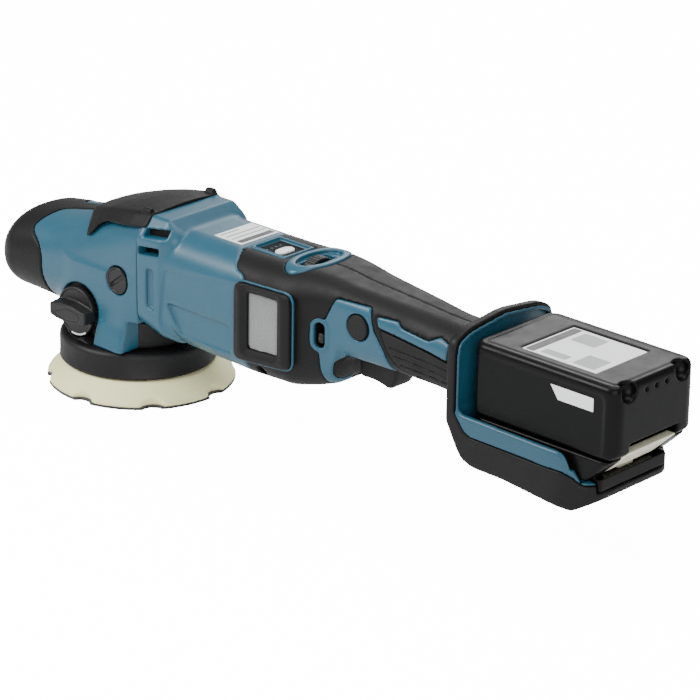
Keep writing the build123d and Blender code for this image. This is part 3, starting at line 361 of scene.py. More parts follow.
def foam_material():
    """Cream moulded foam: open pores, soft shading, faint yellowing."""
    material, tree, shader, coords = nodes_of("pad_foam")
    tint = noise(tree, coords, 22.0, 4.0, 0.55)
    yellowed = mix_colour(tree, tint, (0.91, 0.87, 0.46), (0.98, 0.95, 0.54))
    pores = add(tree, "TexVoronoi", {"Vector": coords, "Scale": 900.0}, "Distance")
    pit = ramp(tree, pores, 0.0, 0.35, 0.0, 1.0)
    soft = noise(tree, coords, 260.0, 3.0)
    fill(shader, {
        "Base Color": mix_colour(tree, pit, (0.82, 0.77, 0.40), yellowed),
        "Normal": bump(tree, soft, 0.25, 0.0005, bump(tree, pit, 0.25, 0.0002)),
        "Roughness": 0.78,
        "Subsurface Weight": 0.12,
        "Subsurface Radius": (0.004, 0.003, 0.0015),
        "Sheen Weight": 0.15,
    })
    return material


def cloth_material(name, colour):
    """Hook cloth: a dense field of tiny dark hooks."""
    material, tree, shader, coords = nodes_of(name)
    cells = add(tree, "TexVoronoi", {"Vector": coords, "Scale": 1100.0}, "Distance")
    tuft = ramp(tree, cells, 0.0, 0.6, 1.0, 0.0)
    fill(shader, {
        "Base Color": mix_colour(tree, tuft, [c * 0.4 for c in colour], [c * 2.0 for c in colour]),
        "Normal": bump(tree, tuft, 0.9, 0.0006),
        "Roughness": 0.9,
        "Sheen Weight": 0.4,
    })
    return material


def board_material():
    """Green solder mask with lighter copper runs."""
    material, tree, shader, coords = nodes_of("circuit_board")
    wave = add(tree, "TexWave", {"Vector": coords, "Scale": 180.0, "Distortion": 6.0}, "Fac")
    tracks = ramp(tree, wave, 0.70, 0.78, 0.0, 1.0)
    fill(shader, {
        "Base Color": mix_colour(tree, tracks, (0.02, 0.12, 0.05), (0.06, 0.25, 0.10)),
        "Normal": bump(tree, tracks, 0.3, 0.0001),
        "Roughness": 0.35,
    })
    return material


TEAL = moulded("teal_plastic", (0.0165, 0.086, 0.135), 0.34, 0.05, 1500.0, 0.45)
# Darker copy of the teal plastic for the base frame: painted shade, because the frame sits in shadow behind
# the battery.
TEAL_SHADED = moulded("teal_shaded_frame", (0.0135, 0.070, 0.110), 0.36, 0.05, 1500.0, 0.4)
RUBBER = moulded("black_rubber", (0.0060, 0.0058, 0.0060), 0.50, 0.16, 1100.0, 0.20)
GRIP = moulded("grip_rubber", (0.0100, 0.0096, 0.0098), 0.58, 0.22, 900.0, 0.22)
KNOB = moulded("knob_plastic", (0.0065, 0.0062, 0.0065), 0.42, 0.12, 1300.0, 0.35)
SHROUD = moulded("shroud_rubber", (0.0045, 0.0044, 0.0046), 0.50, 0.14, 1000.0, 0.30)
BATTERY = moulded("battery_plastic", (0.0022, 0.0022, 0.0024), 0.33, 0.04, 1600.0, 0.13)
# Near-black plastic; the same colour also paints the shade inside the vent slots.
DARK = moulded("dark_recess", (0.0030, 0.0030, 0.0032), 0.7, 0.1, 900.0, 0.2)
CREAM = moulded("cream_plastic", (0.84, 0.82, 0.62), 0.38, 0.04, 1500.0)
WHITE = moulded("pale_plastic", (0.86, 0.87, 0.88), 0.40, 0.03, 1500.0)
LABEL_GREY = moulded("label_grey", (0.34, 0.35, 0.36), 0.42, 0.02, 2000.0)
LABEL_DARK = moulded("label_dark", (0.050, 0.050, 0.056), 0.42, 0.02, 2000.0)
STEEL = metal("machined_steel", (0.56, 0.56, 0.58), 0.30, 900.0)
BEARING = metal("bearing_steel", (0.74, 0.74, 0.76), 0.18, 1400.0)
ALUMINIUM = metal("cast_aluminium", (0.40, 0.40, 0.41), 0.48, 500.0, 0, 0.3)
BLACK_STEEL = metal("black_oxide_steel", (0.10, 0.10, 0.105), 0.38, 900.0)
COPPER = metal("enamelled_copper", (0.72, 0.34, 0.14), 0.30, 700.0)
SCREEN = metal("screen_wire", (0.40, 0.41, 0.41), 0.45, 1200.0)
FOAM = foam_material()
HOOK = cloth_material("hook_cloth", (0.018, 0.018, 0.019))
BOARD = board_material()
RED_WIRE = moulded("wire_jacket", (0.35, 0.02, 0.015), 0.35, 0.03)
CELL_WRAP = moulded("cell_wrap", (0.03, 0.18, 0.14), 0.30, 0.02)


def dress_cad():
    """Gives each CAD node its finish."""
    by_slot = {
        "gear_steel": STEEL, "bearing_steel": BEARING, "case_aluminium": ALUMINIUM,
        "screw_steel": BLACK_STEEL, "copper": COPPER, "screen_metal": SCREEN, "board_green": BOARD,
        "wire_red": RED_WIRE, "cell_wrap": CELL_WRAP, "plastic_black": KNOB, "rubber_black": RUBBER,
        "shell_teal": TEAL, "battery_black": BATTERY, "plastic_cream": CREAM, "button_white": WHITE,
        "plate_composite": DARK, "pad_foam": FOAM, "hook_fabric": HOOK,
    }
    for part in frame["record"]["subparts"]:
        node = frame["nodes"][part["node"]]
        node.data.materials.clear()
        node.data.materials.append(by_slot[part["material_slot"]])


# ---- housing shapes
TIP_X = node_box("nose_grip")[0][0] - 0.5
SEAM_X = node_box("motor_housing")[0][0] - 0.2
NOSE_ROUND = 25.0

# stations along the head: x, half width, lowest z, highest z, crown power
HEAD = [
    (-104, 38.5, 43, 96, 2.15),
    (-88, 38.5, 44, 97.5, 2.25),
    (-72, 38.2, 44, 100, 2.35),
    (-50, 38, 43, 103, 2.45),
    (-20, 37.6, 42, 110, 2.7),
    (10, 37.4, 42, 119.5, 3.2),
    (40, 37.4, 44, 126, 4.5),
]
# stations along barrel and handle: x, half width, lowest z, highest z, corner radius
BARREL = [
    (38, 37.0, 55, 121.5, 22),
    (52, 37.0, 51, 121.5, 22),
    (72, 36.9, 45.3, 121.0, 22),
    (132, 36.9, 44, 120.6, 21),
]
REAR = [
    (131, 36.9, 44, 120.6, 21),
    (164, 36.9, 45.2, 122.0, 21),
    (180, 31.5, 49, 122.5, 18),
    (193, 27.5, 53.5, 121.5, 15),
    (197.5, 26.8, 56.5, 120.6, 14),
    (201, 26.4, 73.5, 120.0, 14),
    (245, 23.0, 73.0, 117.0, 15),
    (270, 21.8, 71.5, 115.0, 17),
    (304, 23.0, 70.0, 114.0, 18),
]


def head_body(x, y, z):
    """Nose and crown of the head."""
    half, low, high, power = section(x, HEAD, (6, 6, 6, 6))
    reach = np.maximum(TIP_X + NOSE_ROUND - x, 0) / NOSE_ROUND
    drop = 3.0 * (1 - np.sqrt(np.maximum(1 - reach ** 2, 0)))
    return crowned(y, z, half, low - drop, high - drop, power, reach)


SKIRT_REAR = 36.0


def skirt(x, y, z):
    """Flared foot of the head that stands on the shroud."""
    half = np.interp(z, [33, 44, 56, 72], [45.0, 42.0, 38.6, 35.0])
    front = np.interp(z, [33, 48, 72], [-38.5, -38.8, -30.0])
    plan = rounded_rect(x - (front + SKIRT_REAR) / 2, y, (SKIRT_REAR - front) / 2, half, 12.0)
    return smooth_max(plan, slab(z, 33.6, 80.0), 1.0)


def head_solid(x, y, z):
    """Nose, crown and skirt in one."""
    return smooth_min(head_body(x, y, z), skirt(x, y, z), 9.0)


KNOB_LOW, KNOB_HIGH = node_box("mode_knob")
KNOB_X = (KNOB_LOW[0] + KNOB_HIGH[0]) / 2
KNOB_Z = 51.0
CAP_LOW, CAP_HIGH = node_box("side_cap")
CAP_X, CAP_Z = (CAP_LOW[0] + CAP_HIGH[0]) / 2, (CAP_LOW[2] + CAP_HIGH[2]) / 2

# side view of the nose rubber
NOSE_LINE = [
    (-112, 30), (-46, 30), (-47, 44), (-49.4, 60.3), (-50.7, 67.4), (-50.8, 77.9), (-54, 84.4),
    (-63.9, 90.2), (-66.6, 92.6), (-64.2, 97.7), (-58.9, 102), (-52.7, 106), (-52.7, 130),
    (-112, 130),
]


def nose_area(x, y, z):
    """Side-view area of the nose rubber, with a strip that runs back along the crown."""
    side = outline(x, z, NOSE_LINE, 3.0)
    strip = meet(slab(x, -95, -18), abs(y) - 7.0, 90 - z)
    return smooth_min(side, strip, 6.0)


def knob_arch(x, z, radius):
    """Recess behind the mode knob, open at the bottom."""
    below = meet(slab(x, KNOB_X - radius, KNOB_X + radius), z - KNOB_Z)
    return smooth_min(disc(x, z, KNOB_X, KNOB_Z, radius), below, 0.5)


# ridge of the crown guard, and the side view it stays within
CROWN_LINE = [(-34, 110.0), (-24, 114.5), (-12, 118.5), (2, 122.8), (16, 126.2), (30, 128.8), (44, 129.4)]
GUARD_EDGE = [
    (-60, 135), (-60, 100), (-13, 100), (-7, 103.5), (-2, 110.5), (5, 114.5), (43.4, 120.2), (45.4, 135),
]


def build_head():
    """Teal head shell, nose rubber, crown guard and the slotted cap."""
    def shell(x, y, z):
        tick = meet(slab(x, KNOB_X + 19.2, KNOB_X + 25.0), slab(z, KNOB_Z - 0.4, KNOB_Z + 0.4), y + 39.4)
        return carve(
            meet(head_solid(x, y, z), x - (SEAM_X - 0.35), -82.0 - x),
            (meet(nose_area(x, y, z) - 0.45, -(head_body(x, y, z) + 1.8)), 0.5),
            (meet(knob_arch(x, z, 18.3), y + 31.0), 1.2),
            (meet(disc(x, z, CAP_X, CAP_Z, 9.5), y + 34.0), 0.8),
            (meet(29.5 - x, z - 54.0), 1.5),
            (meet(x + 30.5, y + 18.0, z - 47.0), 1.0),
            (meet(disc(x, y, 0, 0, 36.2), z - 60.0), 0.5),
            (tick, 0.3),
        )

    piece(mold("head_shell", (-105, -47, 33), (39, 47, 131), FINE, shell, TEAL),
          ["head_housing"])

    def liner(x, y, z):
        plate = meet(knob_arch(x, z, 18.8), slab(y, -33.6, -32.2), head_solid(x, y, z) + 0.8)
        return cut(plate, disc(x, z, KNOB_X, KNOB_Z, 4.4), 0.3)

    piece(mold("knob_recess_liner", (-34, -34.5, 33), (6, -31, 71), 0.5, liner, SHROUD, 1))

    def rubber(x, y, z):
        skin = head_body(x, y, z) - 0.35
        keep = nose_area(x, y, z)
        cap = smooth_max(skin, keep, 1.1)
        return meet(cap, -(head_body(x, y, z) + 1.75))

    piece(mold("nose_rubber", (-105, -40, 40), (-17, 40, 114), FINE, rubber, RUBBER),
          ["nose_grip"])

    def guard(x, y, z):
        top = np.interp(x, *zip(*CROWN_LINE))
        flat = z - top + 0.0022 * y ** 2
        shoulder = np.interp(x, [-30, -5, 20, 44], [17, 24, 28.0, 28.6])
        lean = (abs(y) - shoulder) * 0.80 + (z - top) * 0.60
        body = smooth_max(flat, lean, 2.2)
        body = smooth_max(body, abs(y) - 39.2, 2.0)
        front = -(x + 23.0 - 10.0 * (abs(y) / 33.0) ** 2.2)
        body = smooth_max(body, front, 3.0)
        body = smooth_max(body, outline(x, z, GUARD_EDGE, 2.0), 1.4)
        for side in (-1, 1):
            rib = np.sqrt((y - side * 27.5) ** 2 + (z - top + 0.6) ** 2) - 2.3
            body = smooth_min(body, meet(rib, slab(x, 35.5, 42.0)), 2.0)
        body = meet(body, x - 43.6)
        return meet(body, -(head_solid(x, y, z) - 0.05))

    piece(mold("crown_guard", (-40, -41, 100), (46, 41, 134), FINE, guard, RUBBER),
          ["top_bumper"])

    def cap(x, y, z):
        body = smooth_max(disc(x, z, CAP_X, CAP_Z, 9.0), slab(y, -38.9, -33.5), 1.0)
        turn = math.radians(38)
        across = (x - CAP_X) * math.sin(turn) - (z - CAP_Z) * math.cos(turn)
        along = (x - CAP_X) * math.cos(turn) + (z - CAP_Z) * math.sin(turn)
        slot = meet(abs(across) - 1.2, abs(along) - 7.0, y + 37.0)
        return carve(body, (meet(disc(x, z, CAP_X, CAP_Z, 7.4), y + 38.3), 0.4), (slot, 0.4))

    piece(mold("slotted_cap", CAP_LOW, CAP_HIGH, 0.35, cap, KNOB, 1), ["side_cap"])


# side view of the black rear housing, whose front edge meets the barrel
REAR_LINE = [
    (131.5, 30), (131.5, 50), (131, 60), (130.5, 107.5), (127, 111.3), (121, 112.6),
    (118.8, 114.5), (116.1, 118.4), (110.3, 120.7), (108.5, 124), (108.5, 140), (330, 140),
    (330, 30),
]


# front and rear end of each vent slot, as x and z
VENTS = [((43.0, 117.2), (61.5, 119.6)), ((39.5, 105.4), (57.5, 107.8))]
# recessed side fields: outline in x and z, corner radius, depth, edge softness
SIDE_FIELDS = [
    ([(58, 62), (76, 50), (126, 50), (126, 105.5), (62, 98)], 3.0, 0.8, 0.8),
    ([(63, 76), (75, 57.5), (119, 57.0), (119, 76)], 2.5, 3.0, 0.9),
    ([(46.5, 70), (53, 68), (53, 95), (46.5, 95)], 2.0, 1.5, 0.9),
]
# side view of the bed under the intake frames
INTAKE = [(125, 57), (174, 61), (174, 111.5), (125, 109.5)]


def barrel_solid(x, y, z):
    """Plain motor barrel."""
    return boxy(y, z, *section(x, BARREL, (3, 3, 3, 3)))


def vent_slot(x, z, start, end, spread=0.0):
    """Side view of one sloping vent slot, widened by spread."""
    middle = (start[1] + end[1]) / 2 + (x - (start[0] + end[0]) / 2) * 0.13
    return meet(slab(x, start[0] - spread, end[0] + spread), abs(z - middle) - (2.5 + spread))


def intake_seat(x, y, z):
    """Sunken bed of the two intake frames."""
    return meet(outline(x, z, INTAKE, 6.0), 36.0 - abs(y))


def build_motor_housing():
    """Teal barrel with its stepped collar, vents and recessed side fields."""
    def shell(x, y, z):
        barrel = barrel_solid(x, y, z)
        shrink = np.clip((x - 58.0) / 9.0, 0, 1) * 4.5
        low = profile(x, BARREL, 2, 3)
        collar = boxy(y, z, 37.7 - shrink, low - 0.3, 127.2 - 1.4 * shrink, 11.0)
        facet = (abs(y) - 28.5) * 0.80 + (z - 127.0 + shrink) * 0.60
        collar = smooth_max(collar, facet, 1.2)
        collar = smooth_max(collar, x - 68.0, 2.0)
        body = smooth_min(barrel, collar, 1.6)
        body = smooth_max(body, meet(SEAM_X - x, -outline(x, z, REAR_LINE, 3.0)), 0.8)
        for points, radius, sink, edge in SIDE_FIELDS:
            body = cut(body, meet(outline(x, z, points, radius), 36.9 - abs(y) - sink), edge)
        return carve(
            body,
            *((meet(vent_slot(x, z, *vent), 27.5 - abs(y)), 0.8) for vent in VENTS),
            (intake_seat(x, y, z), 0.5),
            (meet(slab(x, 114 - 0.15, DIAL_X), abs(y) - 13.7, 112 - z), 0.4),
        )

    piece(mold("motor_barrel", (38, -38.5, 43), (133, 38.5, 129), COARSE, shell, TEAL),
          ["motor_housing"])

    # Near-black plates just inside the vent slots: painted shade, so the slots read as dark openings.
    def vent_painted_shade(x, y, z):
        blocks = np.inf
        for vent in VENTS:
            blocks = np.minimum(blocks, meet(vent_slot(x, z, *vent, 0.5), slab(abs(y), 26.5, 30.5)))
        return blocks

    piece(mold("vent_shadow_plates", (38, -31, 100), (63, 31, 124), 0.6, vent_painted_shade, DARK, 0))


def rear_solid(x, y, z):
    """Rear housing, neck and handle in one."""
    return boxy(y, z, *section(x, REAR, (3.2, 2.0, 4, 3)))


# side views of the inlays, and the middles of the lock button and slider, in x and z
PANEL = [
    (190.5, 54.5), (188.7, 68), (187.7, 75.6), (182.4, 80.6), (181.5, 86.2), (183.1, 92.5),
    (187, 96.2), (191, 97), (198.5, 112.7), (223.4, 112.8), (225.1, 108.8), (227.8, 99.3),
    (236.2, 87.6), (241, 75.3), (212, 76.5), (203.7, 76.3), (198, 71.6), (195.7, 63.1),
    (196.5, 54.5),
]
STRIP = [
    (229.5, 109.0), (244.5, 109.6), (248.0, 106.4), (268.5, 103.6), (276.0, 107.6), (284.5, 105.5),
    (284.5, 95.6), (231.5, 102.8),
]
PAD_AREA = [
    (232.8, 101.6), (284.0, 94.6), (298.0, 92.0), (298.0, 74.5), (258.0, 76.0), (247.0, 81.0),
    (238.0, 90.5),
]
LOCK = (216.0, 99.0)
SLIDE = (188.5, 87.5)
# middles of the dial bezel and of the push button along x, height of the dial's axle
DIAL_X = 160.0
PUSH_X = 131.0
WHEEL_Z = 109.0


def pill(u, v, cu, cv, half_length, radius):
    """Upright rounded slot."""
    over = np.maximum(abs(v - cv) - half_length, 0)
    return np.sqrt((u - cu) ** 2 + over ** 2) - radius


def dial_oval(x, y, half_x, half_y):
    """Plan of an oval around the speed dial."""
    return (np.sqrt(((x - DIAL_X) / half_x) ** 2 + (y / half_y) ** 2) - 1) * half_x


def build_handle():
    """Two handle halves with their rubber skin, and the inlays let into it."""
    def body(x, y, z):
        solid = rear_solid(x, y, z)
        solid = meet(solid, outline(x, z, REAR_LINE, 3.0) + 0.3, x - 302.9)
        for area, gap in ((PANEL, 0.4), (STRIP, 0.35), (PAD_AREA, 0.35)):
            inlay = outline(x, z, area, 1.5) - gap
            solid = cut(solid, meet(inlay, -(rear_solid(x, y, z) + 1.5)), 0.5)
        return carve(
            solid,
            (intake_seat(x, y, z), 0.5),
            (meet(slab(x, 201.9, 238.2), abs(y) - 10.7, z - 88), 0.8),
            (meet(slab(x, 100, 144.3), abs(y) - 13.8, 112 - z), 0.5),
            (meet(dial_oval(x, y, 14.0, 26.2), 108 - z), 0.4),
            (meet(disc(x, z, *LOCK, 9.4), y + 12.0), 0.4),
            (meet(pill(x, z, *SLIDE, 4.6, 4.0), y + 21.0), 0.4),
            (meet(disc(x, z, 143.0, 52.5, 3.4), y + 12.0), 0.5),
            (meet(disc(x, z, 290.0, 100.0, 3.4), y + 12.0), 0.5),
        )

    for side, end in ((-1, "left"), (1, "right")):
        def half(x, y, z, side=side):
            seam = 0.14 - side * y
            groove = (0.9 - np.abs(body(x, y, z))) * 0.18
            return smooth_max(body(x, y, z), seam + np.maximum(groove, 0), 0.5)

        low = (108, -38 if side < 0 else -0.5, 43)
        high = (304, 0.5 if side < 0 else 38, 127)
        obj = mold("handle_half_" + end, low, high, COARSE, half, RUBBER)
        piece(obj, ["handle_" + end])

    def inlay(area, rise, hole=None):
        def field(x, y, z):
            shape = smooth_max(rear_solid(x, y, z) - rise, outline(x, z, area, 1.5) + 0.05, 0.9)
            shape = meet(shape, -(rear_solid(x, y, z) + 1.4))
            return hole(shape, x, y, z) if hole else shape
        return field

    def panel_holes(shape, x, y, z):
        rim = meet(pill(x, z, *SLIDE, 4.6, 6.2), -(rear_solid(x, y, z) + 1.4))
        shape = smooth_min(shape, smooth_max(rim, rear_solid(x, y, z) - 0.9, 0.8), 0.8)
        shape = cut(shape, disc(x, z, *LOCK, 8.5), 0.6)
        shape = cut(shape, pill(x, z, *SLIDE, 4.6, 3.6), 0.6)
        return meet(shape, y + 4.0)

    left = inlay(PANEL, 0.25, panel_holes)
    piece(mold("side_inlay_left", (178, -34, 53), (245, -8, 115), 0.6, left, TEAL),
          ["side_panel_left"])

    def right_only(shape, x, y, z):
        return meet(shape, 4.0 - y)

    right = inlay(PANEL, 0.25, right_only)
    piece(mold("side_inlay_right", (178, 8, 53), (245, 34, 115), 0.6, right, TEAL),
          ["side_panel_right"])
    piece(mold("accent_inlays", (228, -30, 94), (286, 30, 111), 0.6, inlay(STRIP, 0.25), TEAL),
          ["accent_strips"])

    def ribs(shape, x, y, z):
        for index in range(4):
            line = z - (79.8 + 4.3 * index) + 0.055 * (x - 232)
            groove = meet(abs(line) - 0.45, -(rear_solid(x, y, z) + 0.75),
                          outline(x, z, PAD_AREA, 1.5) + 2.6)
            shape = cut(shape, groove, 0.5)
        return shape

    piece(mold("ribbed_pads", (231, -30, 72), (300, 30, 104), 0.6, inlay(PAD_AREA, 0.5, ribs), GRIP),
          ["grip_pads"])


SCREEN_Y = 37.2
WIRE_RADIUS = 0.22


def build_intakes():
    """Filter frames, their woven screens and the thin teal rims around them."""
    area = [(126, 58), (173, 62), (173, 110.5), (126, 108.5)]
    window = [(137, 67), (162.5, 69), (162.5, 105), (137, 104)]

    def frames(x, y, z):
        edge = outline(x, z, area, 6.0)
        opening = outline(x, z, window, 2.0)
        bevels = np.clip(1.2 + edge * 0.25, 0, 2.0), np.clip(2.0 - opening * 0.45, 0, 2.2)
        face = abs(y) - 41.4 + bevels[0] + bevels[1]
        body = smooth_max(edge, meet(face, 36.1 - abs(y)), 1.0)
        return cut(body, opening, 0.5)

    piece(mold("intake_frames", (125, -42.5, 57), (174, 42.5, 112), 0.6, frames, RUBBER),
          ["filter_frames"])

    def rims(x, y, z):
        ring = abs(outline(x, z, area, 6.5) - 0.75) - 0.5
        return meet(ring, abs(y) - 37.9, 35.9 - abs(y))

    piece(mold("intake_rims", (123, -38.5, 55), (176, 38.5, 114), 0.45, rims, TEAL, 1))

    wires = bmesh.new()
    for y in (-SCREEN_Y, SCREEN_Y):
        for index in range(26):
            x = 137.0 + index
            weave_wire(wires, (x, y, 66.6), (x, y, 105.4), WIRE_RADIUS, index % 2)
        for index in range(39):
            z = 66.8 + index
            weave_wire(wires, (136.2, y, z), (163.2, y, z), WIRE_RADIUS, index % 2)
    mesh = bpy.data.meshes.new("woven_screens")
    wires.to_mesh(mesh)
    wires.free()
    mesh.materials.append(SCREEN)
    piece(place("woven_screens", mesh), ["filter_screens"])

    def backing(x, y, z):
        sheet = outline(x, z, [(135, 65), (164.5, 67), (164.5, 107), (135, 106)], 2.0)
        return meet(sheet, slab(abs(y), 35.9, 36.5))

    piece(mold("screen_felt", (134, -37, 64), (166, 37, 108), 0.5, backing, LABEL_GREY, 1))


def weave_wire(target, start, end, radius, phase):
    """A square-section wire that rises and dips along its length."""
    start, end = np.array(start), np.array(end)
    length = np.linalg.norm(end - start)
    along = (end - start) / length
    across = np.cross(along, (0, 1, 0))
    lift = np.array((0, 1.0, 0))
    spokes = ((1, 0), (0, 1), (-1, 0), (0, -1))
    rings = []
    count = int(length / 0.5)
    for index in range(count + 1):
        t = index / count
        wave = 0.18 * math.cos(math.pi * (length * t + phase))
        centre = start + along * length * t + lift * wave
        ring = [centre + across * radius * a + lift * radius * b for a, b in spokes]
        rings.append([target.verts.new(p * MM) for p in ring])
    for a, b in zip(rings, rings[1:]):
        for k in range(4):
            target.faces.new((a[k], a[(k + 1) % 4], b[(k + 1) % 4], b[k]))
    target.faces.new(rings[0][::-1])
    target.faces.new(rings[-1])


def build_top_controls():
    """Indicator panel, push button, dial bezel, dial and the plain rating plate."""
    def panel(x, y, z):
        body = rounded_box(x, y, z, (113.9, -13.6, 112), (144.1, 13.6, 121.7), 1.4)
        floor = rounded_box(x, y, z, (116.0, -11.6, 119.0), (142.0, 11.6, 130), 1.6)
        body = cut(body, floor, 0.5)
        return cut(body, pill(x, y, PUSH_X, 0, 3.2, 4.15), 0.3)

    piece(mold("indicator_surround", (113, -14.5, 111), (145, 14.5, 123), 0.45, panel, TEAL, 1),
          ["indicator_panel"])

    def inset(x, y, z):
        plate = rounded_box(x, y, z, (116.4, -11.2, 118.95), (141.6, 11.2, 119.35), 0.15)
        plate = cut(plate, pill(x, y, PUSH_X, 0, 3.2, 4.15), 0.2)
        for index in range(4):
            plate = cut(plate, disc(x, y, 121.5, -6.0 + 4.0 * index, 0.95), 0.2)
        return plate

    piece(mold("indicator_plate", (116, -12, 118.5), (142, 12, 120), 0.3, inset, DARK, 1))

    def button(x, y, z):
        shape = pill(x, y, PUSH_X, 0, 3.0, 3.95)
        dome = z - 120.4 + 0.02 * ((x - PUSH_X) ** 2 + 0.4 * y ** 2)
        return smooth_max(smooth_max(shape, dome, 0.7), 114.7 - z, 0.3)

    piece(mold("mode_button", (126, -8, 114), (136, 8, 121), 0.3, button, WHITE, 1),
          ["panel_button"], "panel_button")

    def bezel(x, y, z):
        skin = rear_solid(x, y, z)
        body = smooth_max(smooth_max(dial_oval(x, y, 13.8, 26.0), skin - 1.0, 1.6), -(skin + 4.5), 0.5)
        body = cut(body, meet(dial_oval(x, y, 9.6, 18.0), -(skin + 1.6)), 1.2)
        slot = meet(abs(x - 159) - 4.7, abs(y) - 12.4)
        return cut(body, slot, 0.5)

    piece(mold("dial_surround", (145, -27, 110), (175, 27, 125), 0.45, bezel, TEAL, 1),
          ["dial_bezel"])

    def wheel(x, y, z):
        angle = np.arctan2(y, z - WHEEL_Z)
        away = np.hypot(y, z - WHEEL_Z)
        radius = 13.85 - 0.42 * (0.5 + 0.5 * np.cos(angle * 36)) ** 2
        body = smooth_max(away - radius, slab(x, 155.1, 162.9), 0.7)
        return np.minimum(body, meet(away - 2.0, slab(x, 149.5, 164.8)))

    piece(mold("speed_wheel", (149, -14.5, 94.5), (165.5, 14.5, 123.5), 0.4, wheel, KNOB, 1),
          ["speed_dial"], "speed_dial")

    def label(low_x, high_x, low_y, high_y, rise):
        def field(x, y, z):
            surface = barrel_solid(x, y, z)
            plan = rounded_box(x, y, 0, (low_x, low_y, -9), (high_x, high_y, 9), 0.9)
            return meet(plan, abs(surface - rise / 2) - rise / 2 - 0.1, 105 - z)
        return field

    for name, spans, rise, material in (
        ("rating_plate", (84.0, 108.5, -15.0, 19.0), 0.25, WHITE),
        ("rating_field_a", (101.5, 106.5, -13.0, 17.0), 0.38, LABEL_DARK),
        ("rating_field_b", (96.5, 98.5, -13.0, 17.0), 0.38, LABEL_GREY),
        ("rating_field_c", (91.5, 93.5, -13.0, 17.0), 0.38, LABEL_GREY),
        ("rating_field_d", (86.5, 88.5, -13.0, 4.0), 0.38, LABEL_GREY),
    ):
        low = (spans[0] - 1, spans[2] - 1, 117)
        high = (spans[1] + 1, spans[3] + 1, 123)
        piece(mold(name, low, high, 0.4, label(*spans, rise), material, 0))


def build_handle_controls():
    """Trigger paddle, lock button and lock slider."""
    low, high = node_box("trigger")
    shape = [
        (203.4, 61.0), (206, 58.8), (222.0, 56.6), (227.5, 56.8), (231.5, 61.0), (234.5, 70.0),
        (236.5, 80.0), (222.0, 82.2), (203.4, 82.2),
    ]

    def paddle(x, y, z):
        side = outline(x, z, shape, 4.0)
        crown = abs(y) - 9.9 + 0.012 * np.maximum(70 - z, 0) ** 1.5
        body = smooth_max(side, crown, 3.0)
        scoop = disc(x, z, 213.5, 25.6, 34.6)
        return cut(body, scoop, 2.0)

    piece(mold("trigger_paddle", low, high, 0.6, paddle, GRIP), ["trigger"], "trigger")

    def button(x, y, z):
        round_part = disc(x, z, *LOCK, 7.95)
        face = -y - 26.6 + 0.004 * ((x - LOCK[0]) ** 2 + (z - LOCK[1]) ** 2)
        cap = smooth_max(round_part, meet(face, y + 21.0), 1.0)
        stem = meet(disc(x, z, *LOCK, 3.0), slab(y, -22, -17))
        return np.minimum(cap, stem)

    piece(mold("lock_button_cap", (207, -27.5, 90), (225, -16, 108), 0.4, button, GRIP, 1),
          ["lock_button"], "lock_button")

    def tab(x, y, z):
        body = rounded_box(x, y, z, (186.1, -28.6, 81.8), (190.9, -22.7, 88.4), 1.4)
        ridge = meet(abs(z - 85.0) - 0.5, y + 27.6)
        return smooth_min(body, meet(ridge, slab(x, 186.6, 190.4)) + 0.4, 0.6)

    piece(mold("lock_slider_tab", (185, -30, 80), (192, -22, 90), 0.35, tab, KNOB, 1),
          ["lock_slider"], "lock_slider")


def build_knob():
    """Mode knob with its waisted finger bar."""
    def field(x, y, z):
        plate = smooth_max(disc(x, z, KNOB_X, KNOB_Z, 16.4), slab(y, -42.4, -37.7), 1.4)
        dish = meet(disc(x, z, KNOB_X, KNOB_Z, 14.6), y + 41.9)
        plate = cut(plate, dish, 0.5)
        waist = [(-17, 4.6), (-8, 6.6), (2, 6.8), (17, 4.2), (17, -4.2), (2, -6.4), (-8, -6.4), (-17, -4.6)]
        bar = outline(x - KNOB_X, z - KNOB_Z, waist, 2.0) - (y + 42.0) * 0.08
        bar = smooth_max(bar, slab(y, -49.8, -41.0), 1.0)
        stem = meet(disc(x, z, KNOB_X, KNOB_Z, 4.0), slab(y, -38.5, -30.4))
        body = smooth_min(plate, bar, 1.2)
        line = [(-14, -1.6), (0, 4.3), (11.5, 2.6), (11.5, -2.8), (0, -4.3)]
        rim = abs(outline(x - KNOB_X, z - KNOB_Z, line, 2.0)) - 0.28
        body = cut(body, meet(rim, y + 49.3), 0.3)
        return np.minimum(body, stem)

    piece(mold("mode_knob_body", (-32, -50.5, 34), (4, -30, 68), 0.45, field, KNOB, 1),
          ["mode_knob"], "mode_knob")

    def index_mark(x, y, z):
        ring = abs(disc(x, z, KNOB_X, KNOB_Z, 15.4)) - 0.6
        angle = np.arctan2(z - KNOB_Z, x - KNOB_X)
        sector = abs(angle + math.radians(78)) - math.radians(26)
        return meet(ring, sector * 15, slab(y, -42.55, -42.0))

    piece(mold("knob_index_mark", (-32, -43, 33), (4, -41.5, 52), 0.3, index_mark, WHITE, 0),
          body="mode_knob")


# offset of the pad from the spindle axis, its radius, and the scallops in its edge
PAD_X = 2.75
PAD_RADIUS = 61.4
BITES = 8
FIRST_BITE = math.radians(7.6)


